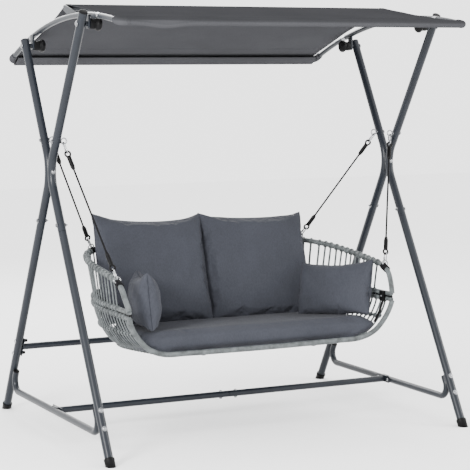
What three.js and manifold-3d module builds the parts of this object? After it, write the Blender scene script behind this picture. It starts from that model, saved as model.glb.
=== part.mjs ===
// Two-seat garden swing: tubular frame, fabric canopy, and a wicker basket seat hung on four ropes.
// Millimetres, +Z up, +X to the sitter's left, the sitter faces -Y.
// The side frames stand in the planes x = -HALF_WIDTH and x = +HALF_WIDTH. Until the last step the
// waist, where the two posts of a side frame touch, is the plane y = 0.
import * as THREE from 'three';
import { mergeVertices } from 'three/addons/utils/BufferGeometryUtils.js';
import Module from 'manifold-3d';

const wasm = await Module();
wasm.setup();

// ---------------------------------------------------------------- driving dimensions
const HALF_WIDTH = 810;
const GAP = 0.4;

const POST = {
  radius: 17.5,
  wall: 1.5,
  footReach: 637,
  waistHeight: 1110,
  waistOvershoot: 5.9,
  rearTop: { reach: 300, height: 1656 },
  frontTop: { reach: 408, height: 1756 },
  legStart: 16,
  seam: 1004,
  spigotLength: 70,
  spigotRadius: 15,
  bendSteps: 4,
};
const FOOT_CAP = { radius: 21, bore: 18.6, below: 14, skirt: 34 };
const SIDE_BAR = { radius: 14, wall: 1.6, height: 105, offset: 32, endRise: 103, bend: 45 };
const STRETCHER = { radius: 14, wall: 1.6, spigotRadius: 11.6, spigotLength: 60, plate: 3 };
const CROSSBAR = { radius: 14, wall: 1.6, height: 308, plateLength: 95, plateWidth: 26, plate: 3 };

const EYE = { height: 1238, ring: 12, wire: 2.8, shank: 4, standoff: 0.4 };
const EYE_X = HALF_WIDTH - POST.radius - EYE.standoff - EYE.ring - EYE.wire;

const CANOPY = {
  railX: 768,
  tube: 11,
  wall: 1.4,
  rear: [612, 1570],
  ridge: [-57, 1782],
  front: [-688, 1707],
  rise: 95,
  corner: 28,
  railStart: 0.235,
  railEnd: 0.83,
  sheet: 2,
  sheetGap: 0.8,
  sheetHalf: 745,
  ridgeHalf: 752,
};
const KNOB = { rearHeight: 1631, frontHeight: 1708, hub: 21, disc: 28, bolt: 4, hole: 4.6 };
const KNOB_X = { face: 775, step: 752, end: 727, bore: 742 };
const TAB = { inner: 776, outer: 784, width: 30, below: 18, boss: 10 };

const ROPE = { radius: 4, thimble: 11, sleeve: 9.5, sleeveStart: 57, sleeveEnd: 112, slack: 6 };
const HOOK = { wire: 2.5, half: 7.5, straight: 33 };
const LINK = { wire: 2.5, half: 8.5, straight: 33 };
const RIM_RING = { ring: 13.5, wire: 2.5, standoff: 34 };

const RIM_TUBE = 11.5;
const SEAM_TUBE = 10;
const SEAM_UPPER = 553;
const SEAM_LOWER = 529;
const WEAVE = 5;
const SEAT_TILT = THREE.MathUtils.degToRad(5);
const BEARER = { x: 260, radius: 8, drop: 9, lead: 40, turnY: 296, rearY: 392, riseZ: 400 };

// Half of the top rim, from the middle of the back to the front end of the right side.
const RIM_HALF = [
  [0, 376, 747], [190, 376, 747], [345, 369, 745], [467, 341, 741], [550, 262, 731], [597, 146, 719],
  [617, 36, 706], [623, -70, 695], [624, -170, 684], [626, -257, 671], [627, -315, 645],
  [622, -350, 596], [615, -371, SEAM_UPPER],
];
// Half of the plan of the seam between the two halves of the basket.
const SEAM_HALF = [
  [0, 376], [190, 376], [337, 367], [445, 334], [520, 257], [567, 150], [591, 60], [602, -30],
  [607, -110], [609, -200], [612, -300], [615, -371],
];
// Half of the front rim of the seat, from the middle of the front edge up to the seam.
const FRONT_HALF = [
  [0, -352, 363], [180, -352, 364], [350, -354, 366], [464, -358, 371], [534, -364, 400],
  [588, -366, 460], [612, -368, 510], [615, -371, SEAM_LOWER],
];

// ---------------------------------------------------------------- materials
function finish(color, roughness, metalness) {
  return new THREE.MeshStandardMaterial({ color, roughness, metalness });
}
const frameSteel = finish(0x484c54, 0.35, 0.6);
const blackPlastic = finish(0x18181a, 0.5, 0.0);
const brightSteel = finish(0xc8ccd0, 0.2, 1.0);
const wicker = finish(0x8c9393, 0.6, 0.0);
const ropeFibre = finish(0x1a1a1c, 0.8, 0.0);
const canopyCloth = finish(0x5c5f68, 0.85, 0.0);
const cushionCloth = finish(0x5d626e, 0.9, 0.0);

// ---------------------------------------------------------------- paths and solids
const v3 = (x, y, z) => new THREE.Vector3(x, y, z);

// A path that ExtrudeGeometry samples exactly at the given points.
class StationPath extends THREE.Curve {
  constructor(points) {
    super();
    this.points = points;
  }
  station(u) {
    return Math.round(u * (this.points.length - 1));
  }
  getPoint(u) {
    return this.points[this.station(u)].clone();
  }
  getPointAt(u) {
    return this.getPoint(u);
  }
  getTangentAt(u) {
    const i = this.station(u);
    const last = this.points.length - 1;
    const before = this.points[Math.max(i - 1, 0)];
    const after = this.points[Math.min(i + 1, last)];
    return after.clone().sub(before).normalize();
  }
}

// Rounds the corners of a polyline; radii[i] belongs to corner points[i + 1].
function filleted(points, radii, steps) {
  const out = [points[0].clone()];
  for (let i = 1; i < points.length - 1; i += 1) {
    const toBack = points[i - 1].clone().sub(points[i]).normalize();
    const toFront = points[i + 1].clone().sub(points[i]).normalize();
    const half = toBack.angleTo(toFront) / 2;
    const reach = radii[i - 1] / Math.tan(half);
    const toCentre = toBack.clone().add(toFront).normalize();
    const centre = points[i].clone().addScaledVector(toCentre, radii[i - 1] / Math.sin(half));
    const start = points[i].clone().addScaledVector(toBack, reach).sub(centre);
    const end = points[i].clone().addScaledVector(toFront, reach).sub(centre);
    const axis = start.clone().cross(end).normalize();
    const turn = start.angleTo(end);
    for (let k = 0; k <= steps; k += 1) {
      out.push(start.clone().applyAxisAngle(axis, (turn * k) / steps).add(centre));
    }
  }
  out.push(points[points.length - 1].clone());
  return out;
}

function splinePoints(points, count) {
  return new THREE.CatmullRomCurve3(points, false, 'centripetal').getSpacedPoints(count);
}

function disc(radius, bore = 0) {
  const shape = new THREE.Shape().absarc(0, 0, radius, 0, 2 * Math.PI);
  if (bore > 0) shape.holes.push(new THREE.Path().absarc(0, 0, bore, 0, 2 * Math.PI));
  return shape;
}

function tube(points, radius, bore = 0, sides = 12) {
  return new THREE.ExtrudeGeometry(disc(radius, bore), {
    steps: points.length - 1,
    curveSegments: sides / 2,
    extrudePath: new StationPath(points),
    bevelEnabled: false,
  });
}

// Turns a [radius, distance] profile about the line from origin along direction.
function turned(profile, origin, direction, sides = 12) {
  const geometry = new THREE.LatheGeometry(profile.map(([r, d]) => new THREE.Vector2(r, d)), sides);
  const turn = new THREE.Quaternion().setFromUnitVectors(v3(0, 1, 0), direction.clone().normalize());
  geometry.applyQuaternion(turn);
  geometry.translate(origin.x, origin.y, origin.z);
  return geometry;
}

function rod(from, to, radius, sides = 10) {
  const along = to.clone().sub(from);
  const length = along.length();
  return turned([[0, 0], [radius, 0], [radius, length], [0, length]], from, along, sides);
}

function block(min, max) {
  const size = max.clone().sub(min);
  const geometry = new THREE.BoxGeometry(size.x, size.y, size.z);
  const centre = min.clone().add(max).multiplyScalar(0.5);
  geometry.translate(centre.x, centre.y, centre.z);
  return geometry;
}

// A ring of wire about centre, in the plane of the unit vectors along and across.
// straight > 0 stretches it into an oval link whose far bend is that distance along.
function wireLink(centre, along, across, half, straight, wire, sides = 6, steps = 6) {
  const normal = along.clone().cross(across).normalize();
  const far = centre.clone().addScaledVector(along, straight);
  const points = [];
  for (let end = 0; end < 2; end += 1) {
    const hub = end === 0 ? centre : far;
    for (let k = 0; k <= steps; k += 1) {
      const angle = Math.PI * (end + k / steps);
      const spoke = across.clone().multiplyScalar(Math.cos(angle) * half);
      spoke.addScaledVector(along, -Math.sin(angle) * half);
      points.push(hub.clone().add(spoke));
    }
  }
  const unique = points.filter((p, i) => i === 0 || p.distanceTo(points[i - 1]) > 1e-3);
  if (unique[0].distanceTo(unique[unique.length - 1]) < 1e-3) unique.pop();
  return ringSolid(unique, normal, wire, sides);
}

// A closed wire through points that lie in one plane with the given normal.
function ringSolid(points, normal, wire, sides) {
  const count = points.length;
  const position = [];
  for (let i = 0; i < count; i += 1) {
    const tangent = points[(i + 1) % count].clone().sub(points[(i + count - 1) % count]).normalize();
    const inward = normal.clone().cross(tangent);
    for (let j = 0; j < sides; j += 1) {
      const angle = (2 * Math.PI * j) / sides;
      const p = points[i].clone().addScaledVector(inward, Math.cos(angle) * wire);
      p.addScaledVector(normal, Math.sin(angle) * wire);
      position.push(p.x, p.y, p.z);
    }
  }
  const index = [];
  for (let i = 0; i < count; i += 1) {
    for (let j = 0; j < sides; j += 1) {
      const a = i * sides + j;
      const b = i * sides + ((j + 1) % sides);
      const c = ((i + 1) % count) * sides + j;
      const d = ((i + 1) % count) * sides + ((j + 1) % sides);
      index.push(a, b, c, b, d, c);
    }
  }
  const geometry = new THREE.BufferGeometry();
  geometry.setAttribute('position', new THREE.Float32BufferAttribute(position, 3));
  geometry.setIndex(index);
  return geometry;
}

// ---------------------------------------------------------------- booleans
function toSolid(geometry) {
  const bare = geometry.clone();
  bare.deleteAttribute('normal');
  bare.deleteAttribute('uv');
  const merged = mergeVertices(bare, 1e-4);
  return new wasm.Manifold(new wasm.Mesh({
    numProp: 3,
    vertProperties: Float32Array.from(merged.attributes.position.array),
    triVerts: Uint32Array.from(merged.index.array),
  }));
}

function fromSolid(solid) {
  const mesh = solid.getMesh();
  const geometry = new THREE.BufferGeometry();
  geometry.setAttribute('position', new THREE.Float32BufferAttribute(mesh.vertProperties, 3));
  geometry.setIndex(Array.from(mesh.triVerts));
  return geometry;
}

const joined = (...geometries) => fromSolid(geometries.map(toSolid).reduce((a, b) => a.add(b)));
const cut = (geometry, ...tools) => fromSolid(
  tools.map(toSolid).reduce((a, b) => a.subtract(b), toSolid(geometry)));
const common = (a, b) => fromSolid(toSolid(a).intersect(toSolid(b)));

// ---------------------------------------------------------------- assembly
const swing = new THREE.Group();

function add(name, geometry, material) {
  const mesh = new THREE.Mesh(geometry, material);
  mesh.name = name;
  swing.add(mesh);
  return mesh;
}

const SIDES = [{ name: 'left', x: -1 }, { name: 'right', x: 1 }];
const ENDS = [{ name: 'front', y: -1 }, { name: 'rear', y: 1 }];

// ---------------------------------------------------------------- posts and legs
function postLine(side, end) {
  const top = end.y > 0 ? POST.rearTop : POST.frontTop;
  const x = side.x * HALF_WIDTH;
  return {
    foot: v3(x, end.y * POST.footReach, 0),
    waist: v3(x, -end.y * POST.waistOvershoot, POST.waistHeight),
    top: v3(x, end.y * top.reach, top.height),
  };
}

// The bend radius that brings the tube just up to the middle plane at the waist.
function waistBend(line) {
  const below = line.foot.clone().sub(line.waist);
  const above = line.top.clone().sub(line.waist);
  const lean = (v) => Math.atan2(Math.abs(v.y), Math.abs(v.z));
  const half = (lean(below) + lean(above)) / 2;
  const tilt = (lean(above) - lean(below)) / 2;
  const inset = POST.radius + GAP + POST.waistOvershoot;
  return inset / (Math.cos(tilt) / Math.cos(half) - 1);
}

const along = (line, distance) => line.foot.clone().addScaledVector(
  line.waist.clone().sub(line.foot).normalize(), distance);

function upperAt(line, height) {
  const t = (height - line.waist.z) / (line.top.z - line.waist.z);
  return line.waist.clone().lerp(line.top, t);
}

function crossHole(point, radius) {
  const reach = v3(POST.radius + 5, 0, 0);
  return rod(point.clone().sub(reach), point.clone().add(reach), radius);
}

for (const side of SIDES) {
  for (const end of ENDS) {
    const line = postLine(side, end);
    const legAxis = line.waist.clone().sub(line.foot).normalize();
    const outer = POST.radius;
    const inner = POST.radius - POST.wall;
    const spigotBore = POST.spigotRadius - POST.wall;

    add(`${side.name}_${end.name}_leg`, turned([
      [spigotBore, POST.legStart], [outer, POST.legStart], [outer, POST.seam],
      [POST.spigotRadius, POST.seam], [POST.spigotRadius, POST.seam + POST.spigotLength],
      [spigotBore, POST.seam + POST.spigotLength], [spigotBore, POST.legStart],
    ], line.foot, legAxis), frameSteel);

    const upward = line.top.clone().sub(line.waist).normalize();
    const tubeTop = line.top.clone().addScaledVector(upward, -5);
    const corners = [along(line, POST.seam + GAP), line.waist, tubeTop];
    const path = filleted(corners, [waistBend(line)], POST.bendSteps);
    const knobHeight = end.y > 0 ? KNOB.rearHeight : KNOB.frontHeight;
    add(`${side.name}_${end.name}_post`, cut(
      tube(path, outer, inner),
      crossHole(upperAt(line, EYE.height), EYE.shank + 0.6),
      crossHole(upperAt(line, knobHeight), KNOB.hole),
    ), frameSteel);

    add(`${side.name}_${end.name}_post_cap`, turned([
      [0, -12], [14.8, -12], [14.8, GAP], [outer, GAP], [outer, 3], [13, 5.5], [0, 6.5],
    ], tubeTop, upward), blackPlastic);

    const below = 60;
    const ground = block(v3(line.foot.x - below, line.foot.y - below, -below),
      v3(line.foot.x + below, line.foot.y + below, 0));
    add(`${side.name}_${end.name}_foot_cap`, cut(turned([
      [0, -FOOT_CAP.below], [FOOT_CAP.radius, -FOOT_CAP.below], [FOOT_CAP.radius, FOOT_CAP.skirt],
      [FOOT_CAP.bore, FOOT_CAP.skirt], [FOOT_CAP.bore, POST.legStart - GAP], [0, POST.legStart - GAP],
    ], line.foot, legAxis), ground), blackPlastic);
  }
}

// ---------------------------------------------------------------- lower bars
const legLine = postLine(SIDES[1], ENDS[1]);
const legAxis = legLine.waist.clone().sub(legLine.foot).normalize();

for (const side of SIDES) {
  const x = side.x * HALF_WIDTH;
  const insetAtHeight = SIDE_BAR.offset / legAxis.z;
  const vertexReach = POST.footReach + (SIDE_BAR.height * legAxis.y) / legAxis.z - insetAtHeight;
  const corner = (sign) => v3(x, sign * vertexReach, SIDE_BAR.height);
  const tip = (sign) => v3(
    x,
    sign * (vertexReach + legAxis.y * SIDE_BAR.endRise),
    SIDE_BAR.height + legAxis.z * SIDE_BAR.endRise,
  );
  const path = filleted([tip(-1), corner(-1), corner(1), tip(1)], [SIDE_BAR.bend, SIDE_BAR.bend], 3);
  add(`${side.name}_side_bar`, tube(path, SIDE_BAR.radius, SIDE_BAR.radius - SIDE_BAR.wall, 10), frameSteel);

  // Half of the stretcher, with the plate and lip that bolt to the side bar.
  const plateOuter = HALF_WIDTH - SIDE_BAR.radius - GAP;
  const plateInner = plateOuter - STRETCHER.plate;
  const height = SIDE_BAR.height;
  const lip = height + SIDE_BAR.radius + GAP;
  const span = (a, b, y0, y1, z0, z1) => block(
    v3(Math.min(side.x * a, side.x * b), y0, z0),
    v3(Math.max(side.x * a, side.x * b), y1, z1),
  );
  const bore = STRETCHER.radius - STRETCHER.wall;
  const parts = [
    turned([[bore, 0], [STRETCHER.radius, 0], [STRETCHER.radius, plateInner], [bore, plateInner], [bore, 0]],
      v3(side.x * GAP, 0, height), v3(side.x, 0, 0)),
    span(plateInner, plateOuter, -56, 56, height - 13, lip + 3),
    span(plateInner, HALF_WIDTH, -26, 26, lip, lip + 3),
  ];
  if (side.x < 0) {
    const reach = STRETCHER.spigotLength;
    const spigotBore = STRETCHER.spigotRadius - 1.5;
    parts.push(turned([
      [spigotBore, -reach], [STRETCHER.spigotRadius, -reach], [STRETCHER.spigotRadius, 2],
      [bore + 0.6, 3], [bore + 0.6, reach], [spigotBore, reach], [spigotBore, -reach],
    ], v3(0, 0, height), v3(-1, 0, 0)));
  }
  add(`${side.name}_stretcher_half`, joined(...parts), frameSteel);
}

function rearCrossbar() {
  const y = POST.footReach + (CROSSBAR.height * legAxis.y) / legAxis.z;
  const outer = HALF_WIDTH - POST.radius - GAP;
  const inner = outer - CROSSBAR.plate;
  const bore = CROSSBAR.radius - CROSSBAR.wall;
  const centre = v3(0, y, CROSSBAR.height);
  const bar = turned([[bore, -inner], [CROSSBAR.radius, -inner], [CROSSBAR.radius, inner], [bore, inner],
    [bore, -inner]], centre, v3(1, 0, 0));
  const plates = SIDES.map((side) => {
    const plate = new THREE.BoxGeometry(CROSSBAR.plate, CROSSBAR.plateWidth, CROSSBAR.plateLength);
    plate.rotateX(-Math.atan2(legAxis.y, legAxis.z));
    plate.translate(side.x * (inner + CROSSBAR.plate / 2 - 0.01), y, CROSSBAR.height);
    return plate;
  });
  const vent = rod(v3(-HALF_WIDTH, y, CROSSBAR.height), v3(HALF_WIDTH, y, CROSSBAR.height), 5);
  return cut(joined(bar, ...plates), vent);
}
add('rear_crossbar', rearCrossbar(), frameSteel);

// ---------------------------------------------------------------- canopy frame
// The side rails and the legs of both end bars lie on one arc in the planes x = +-railX.
const chordStart = new THREE.Vector2(...CANOPY.rear);
const chord = new THREE.Vector2(...CANOPY.front).sub(chordStart);
const chordLength = chord.length();
const arcRadius = (chordLength ** 2 / 4 + CANOPY.rise ** 2) / (2 * CANOPY.rise);
const arcHalf = Math.asin(chordLength / 2 / arcRadius);

function railPoint(x, u) {
  const dir = chord.clone().normalize();
  const up = new THREE.Vector2(dir.y, -dir.x);
  if (up.y < 0) up.negate();
  const centre = chordStart.clone().addScaledVector(dir, chordLength / 2);
  centre.addScaledVector(up, CANOPY.rise - arcRadius);
  const angle = (2 * u - 1) * arcHalf;
  centre.addScaledVector(dir, arcRadius * Math.sin(angle));
  centre.addScaledVector(up, arcRadius * Math.cos(angle));
  return v3(x, centre.x, centre.y);
}

function railPoints(x, from, to, steps) {
  return Array.from({ length: steps + 1 }, (_, k) => railPoint(x, from + ((to - from) * k) / steps));
}

function endBar(cornerU, joinU) {
  const shift = cornerU === 0 ? 0.045 : -0.045;
  const left = railPoints(-CANOPY.railX, joinU, cornerU + shift, 2);
  const right = railPoints(CANOPY.railX, cornerU + shift, joinU, 2);
  const corners = filleted(
    [left[2], railPoint(-CANOPY.railX, cornerU), railPoint(CANOPY.railX, cornerU), right[0]],
    [CANOPY.corner, CANOPY.corner], 3);
  const bar = tube([...left.slice(0, 2), ...corners, ...right.slice(1)], CANOPY.tube, 8.3, 8);
  const spigotEnd = joinU + (cornerU === 0 ? 0.03 : -0.03);
  const spigotStart = joinU - (cornerU === 0 ? 0.012 : -0.012);
  const spigots = [-CANOPY.railX, CANOPY.railX].map(
    (x) => tube(railPoints(x, spigotStart, spigotEnd, 1), 8.8, 7.4, 8));
  return joined(bar, ...spigots);
}
const joinGap = (5 * GAP) / (2 * arcRadius * arcHalf);
add('canopy_rear_bar', endBar(0, CANOPY.railStart - joinGap), frameSteel);
add('canopy_front_bar', endBar(1, CANOPY.railEnd + joinGap), frameSteel);
const ridgeEnds = [-CANOPY.ridgeHalf, CANOPY.ridgeHalf].map((x) => v3(x, ...CANOPY.ridge));
add('canopy_ridge_bar', rod(...ridgeEnds, CANOPY.tube, 12), frameSteel);

// The plate that carries one end of the ridge bar above the rail.
function ridgePlate(side) {
  const outline = [
    [-205, 1738], [-130, 1736], [-44, 1772], [-44, 1788], [-52, 1792], [-66, 1792], [-205, 1756],
  ];
  const shape = new THREE.Shape(outline.map(([y, z]) => new THREE.Vector2(y, z)));
  const inner = CANOPY.ridgeHalf + GAP;
  const plate = new THREE.ExtrudeGeometry(shape, { depth: CANOPY.railX - 8 - inner, bevelEnabled: false });
  // The outline's own x and y become +Y and +Z, and its depth becomes +X.
  plate.applyMatrix4(new THREE.Matrix4().makeBasis(v3(0, 1, 0), v3(0, 0, 1), v3(1, 0, 0)));
  plate.translate(side.x > 0 ? inner : -(CANOPY.railX - 8), 0, 0);
  return plate;
}

function mountTab(side, end) {
  const height = end.y > 0 ? KNOB.rearHeight : KNOB.frontHeight;
  const axis = upperAt(postLine(side, end), height);
  const top = railHeightAt(axis.y);
  const xs = [side.x * TAB.inner, side.x * TAB.outer].sort((a, b) => a - b);
  const tab = block(
    v3(xs[0], axis.y - TAB.width / 2, height - TAB.below), v3(xs[1], axis.y + TAB.width / 2, top));
  const bossFrom = v3(side.x * (TAB.outer - 1), axis.y, height);
  const bossTo = v3(side.x * (HALF_WIDTH - POST.radius - GAP), axis.y, height);
  const hole = rod(v3(side.x * 760, axis.y, height), v3(side.x * 800, axis.y, height), KNOB.hole);
  return { solid: joined(tab, rod(bossFrom, bossTo, TAB.boss)), hole };
}

function railHeightAt(y) {
  const points = railPoints(0, 0, 1, 60);
  return points.reduce((best, p) => (Math.abs(p.y - y) < Math.abs(best.y - y) ? p : best)).z;
}

for (const side of SIDES) {
  const rail = tube(railPoints(side.x * CANOPY.railX, CANOPY.railStart, CANOPY.railEnd, 6),
    CANOPY.tube, CANOPY.tube - CANOPY.wall, 8);
  const core = tube(railPoints(side.x * CANOPY.railX, CANOPY.railStart - 0.01, CANOPY.railEnd + 0.01, 6),
    CANOPY.tube - CANOPY.wall, 0, 8);
  const tabs = ENDS.map((end) => mountTab(side, end));
  const fittings = cut(joined(...tabs.map((tab) => tab.solid)), core, ...tabs.map((tab) => tab.hole));
  add(`canopy_${side.name}_rail`, joined(rail, fittings, cut(ridgePlate(side), core)), frameSteel);
}

for (const side of SIDES) {
  for (const end of ENDS) {
    const height = end.y > 0 ? KNOB.rearHeight : KNOB.frontHeight;
    const axis = upperAt(postLine(side, end), height);
    const at = (x) => v3(side.x * x, axis.y, height);
    const headBase = HALF_WIDTH + POST.radius + GAP;
    const tip = KNOB_X.bore + 2;
    add(`${side.name}_${end.name}_canopy_bolt`, turned([
      [0, 0], [KNOB.bolt, 0], [KNOB.bolt, headBase - tip], [9, headBase - tip],
      [8, headBase - tip + 4], [4, headBase - tip + 5.5], [0, headBase - tip + 6],
    ], at(tip), v3(side.x, 0, 0), 10), brightSteel);
    add(`${side.name}_${end.name}_knob`, turned([
      [0, 0], [KNOB.disc - 4, 0], [KNOB.disc, 4], [KNOB.disc, KNOB_X.step - KNOB_X.end - 3],
      [KNOB.hub, KNOB_X.step - KNOB_X.end], [KNOB.hub, KNOB_X.face - KNOB_X.end],
      [KNOB.hole, KNOB_X.face - KNOB_X.end], [KNOB.hole, KNOB_X.bore - KNOB_X.end],
      [0, KNOB_X.bore - KNOB_X.end],
    ], at(KNOB_X.end), v3(side.x, 0, 0)), blackPlastic);
  }
}

// ---------------------------------------------------------------- canopy cloth
// The sheet wraps the rear bar, runs over the ridge bar and wraps the front bar.
function clothLine(radius) {
  const bars = [CANOPY.rear, CANOPY.ridge, CANOPY.front].map((p) => new THREE.Vector2(...p));
  const normalAngle = (a, b) => {
    const dir = b.clone().sub(a);
    return Math.atan2(-dir.x, dir.y);
  };
  const rearNormal = normalAngle(bars[0], bars[1]);
  const frontNormal = normalAngle(bars[1], bars[2]);
  const arcs = [
    { centre: bars[0], from: THREE.MathUtils.degToRad(-100), to: rearNormal, steps: 8 },
    { centre: bars[1], from: rearNormal, to: frontNormal, steps: 2 },
    { centre: bars[2], from: frontNormal, to: THREE.MathUtils.degToRad(280), steps: 8 },
  ];
  return arcs.flatMap((arc) => Array.from({ length: arc.steps + 1 }, (_, k) => {
    const angle = arc.from + ((arc.to - arc.from) * k) / arc.steps;
    return arc.centre.clone().add(new THREE.Vector2(Math.cos(angle), Math.sin(angle)).multiplyScalar(radius));
  }));
}

function canopySheet() {
  const inner = clothLine(CANOPY.tube + CANOPY.sheetGap);
  const outer = clothLine(CANOPY.tube + CANOPY.sheetGap + CANOPY.sheet);
  const shape = new THREE.Shape([...inner, ...outer.reverse()]);
  const sheet = new THREE.ExtrudeGeometry(shape, { depth: 2 * CANOPY.sheetHalf, bevelEnabled: false });
  sheet.applyMatrix4(new THREE.Matrix4().makeBasis(v3(0, 1, 0), v3(0, 0, 1), v3(1, 0, 0)));
  sheet.translate(-CANOPY.sheetHalf, 0, 0);
  return sheet;
}
add('canopy_fabric', canopySheet(), canopyCloth);

// ---------------------------------------------------------------- rope sets
const mirrored = (points) => points.map(([x, y, z]) => v3(-x, y, z)).reverse();
const bothHalves = (half) => [...mirrored(half), ...half.slice(1).map((p) => v3(...p))];
const rimCurve = bothHalves(RIM_HALF);

function rimPointNear(side, end) {
  const target = end.y < 0 ? v3(side.x * 626, -290, 656) : v3(side.x * 508, 306, 737);
  const points = splinePoints(rimCurve, 600);
  return points.reduce((best, p) => (p.distanceTo(target) < best.distanceTo(target) ? p : best));
}

function ropeLine(side, end) {
  const eye = upperAt(postLine(side, end), EYE.height);
  const hinge = v3(side.x * EYE_X, eye.y, EYE.height - EYE.ring);
  const rimPoint = rimPointNear(side, end);
  const down = rimPoint.clone().sub(hinge).normalize();
  const anchor = rimPoint.clone().addScaledVector(down, -RIM_RING.standoff);
  const depthwise = v3(0, 1, 0).addScaledVector(down, -down.y).normalize();
  const sideways = down.clone().cross(depthwise).normalize();
  return { eye, hinge, rimPoint, down, anchor, depthwise, sideways };
}

function eyeBolt(side, line) {
  const centre = v3(side.x * EYE_X, line.eye.y, EYE.height);
  const ring = wireLink(centre, v3(0, 0, 1), v3(1, 0, 0), EYE.ring, 0, EYE.wire, 6, 6);
  const at = (x) => v3(side.x * x, line.eye.y, EYE.height);
  const shank = rod(at(EYE_X + EYE.ring - 1), at(HALF_WIDTH + POST.radius + 7), EYE.shank, 8);
  const nut = rod(at(HALF_WIDTH + POST.radius + GAP), at(HALF_WIDTH + POST.radius + 6), 7.5, 6);
  return joined(ring, shank, nut);
}

function rope(line, length) {
  const at = (distance) => line.hinge.clone().addScaledVector(line.down, distance);
  const thimbleTop = HOOK.straight + HOOK.half - HOOK.wire - ROPE.radius - 0.5;
  const linkTop = length - LINK.straight - LINK.half;
  const thimbleEnd = linkTop + LINK.wire + ROPE.radius + 0.5;
  const loop = (top, sign) => wireLink(
    at(top + sign * ROPE.thimble), line.down, line.sideways, ROPE.thimble, 0, ROPE.radius, 6, 5);
  const start = ROPE.sleeveStart;
  const end = length - ROPE.sleeveStart;
  const run = ROPE.sleeveEnd - ROPE.sleeveStart;
  const body = turned([
    [0, start - 4], [5, start - 4], [ROPE.sleeve, start + 12], [ROPE.sleeve, start + run - 18],
    [ROPE.radius, start + run], [ROPE.radius, end - run], [ROPE.sleeve, end - run + 18],
    [ROPE.sleeve, end - 12], [5, end + 4], [0, end + 4],
  ], line.hinge, line.down, 8);
  return joined(body, loop(thimbleTop, 1), loop(thimbleEnd, -1));
}

for (const side of SIDES) {
  for (const end of ENDS) {
    const line = ropeLine(side, end);
    const length = line.anchor.distanceTo(line.hinge) + ROPE.slack;
    const linkHub = line.hinge.clone().addScaledVector(line.down, length - LINK.straight);
    const label = `${side.name}_${end.name}`;
    add(`${label}_eye_bolt`, eyeBolt(side, line), brightSteel);
    add(`${label}_snap_hook`, wireLink(
      line.hinge, line.down, line.depthwise, HOOK.half, HOOK.straight, HOOK.wire, 6, 5), brightSteel);
    add(`${label}_rope`, rope(line, length), ropeFibre);
    add(`${label}_link`, wireLink(
      linkHub, line.down, line.depthwise, LINK.half, LINK.straight, LINK.wire, 6, 5), brightSteel);
  }
}

// ---------------------------------------------------------------- basket
const seamPoints = (z) => bothHalves(SEAM_HALF.map(([x, y]) => [x, y, z]));

function rimRing(line) {
  const centre = line.anchor.clone().addScaledVector(line.down, RIM_RING.ring);
  return wireLink(centre, line.down, line.sideways, RIM_RING.ring, 0, RIM_RING.wire, 6, 6);
}

function backFrame() {
  const rim = tube(splinePoints(rimCurve, 32), RIM_TUBE, 0, 8);
  const seam = tube(splinePoints(seamPoints(SEAM_UPPER), 24), SEAM_TUBE, 0, 6);
  const rings = SIDES.flatMap((side) => ENDS.map((end) => rimRing(ropeLine(side, end))));
  return joined(rim, seam, ...rings);
}
add('basket_back_frame', backFrame(), wicker);

// A wall that stands on the plan of the seam, from z0 up to z1.
function planWall(outset, thickness, z0, z1, frontLimit) {
  const plan = splinePoints(seamPoints(0), 32).map((p) => new THREE.Vector2(p.x, p.y));
  const offset = plan.map((p, i) => {
    const before = plan[Math.max(i - 1, 0)];
    const after = plan[Math.min(i + 1, plan.length - 1)];
    const dir = after.clone().sub(before).normalize();
    return { p, n: new THREE.Vector2(-dir.y, dir.x) };
  });
  const line = (distance) => offset.map(({ p, n }) => p.clone().addScaledVector(n, distance));
  const shape = new THREE.Shape([...line(outset), ...line(outset - thickness).reverse()]);
  const wall = new THREE.ExtrudeGeometry(shape, { depth: z1 - z0, bevelEnabled: false });
  wall.translate(0, 0, z0);
  const front = block(v3(-900, -900, z0 - 10), v3(900, frontLimit, z1 + 10));
  return cut(wall, front);
}

function backWeave() {
  const wall = planWall(WEAVE / 2, WEAVE, SEAM_UPPER + SEAM_TUBE + GAP, 800, -276);
  // The rim falls towards the front in one plane, so the weave is cut along it.
  const above = new THREE.BoxGeometry(1600, 1400, 400);
  const rearRim = RIM_HALF[0];
  const frontRim = RIM_HALF[9];
  const slope = Math.atan2(rearRim[2] - frontRim[2], rearRim[1] - frontRim[1]);
  above.translate(0, 0, 200);
  above.rotateX(slope);
  above.translate(0, rearRim[1], rearRim[2] - RIM_TUBE - 4);
  const corner = new THREE.BoxGeometry(1600, 300, 300);
  corner.rotateX(THREE.MathUtils.degToRad(-20));
  corner.translate(0, -276 - 150 + 8, 700);
  return cut(wall, above, corner);
}
add('basket_back_weave', backWeave(), wicker);

// The seat's front rim curve, used again as the section of the woven seat pan.
const panSection = splinePoints(bothHalves(FRONT_HALF), 28);

function seatPan() {
  const section = panSection.map((p) => new THREE.Vector2(p.x, p.z)).filter((p) => p.y < SEAM_LOWER - 14);
  const inward = section.map((p, i) => {
    const before = section[Math.max(i - 1, 0)];
    const after = section[Math.min(i + 1, section.length - 1)];
    const dir = after.clone().sub(before).normalize();
    return p.clone().add(new THREE.Vector2(-dir.y, dir.x).multiplyScalar(WEAVE));
  });
  const shape = new THREE.Shape([...section, ...inward.reverse()]);
  const pan = new THREE.ExtrudeGeometry(shape, { depth: 760, bevelEnabled: false });
  // The section's own y becomes +Z, and its depth runs back along +Y.
  pan.applyMatrix4(new THREE.Matrix4().makeBasis(v3(-1, 0, 0), v3(0, 0, 1), v3(0, 1, 0)));
  pan.translate(0, 0, -FRONT_HALF[0][2]);
  pan.rotateX(-SEAT_TILT);
  pan.translate(0, FRONT_HALF[0][1] + RIM_TUBE + 7, FRONT_HALF[0][2] + 1);
  return pan;
}

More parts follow.
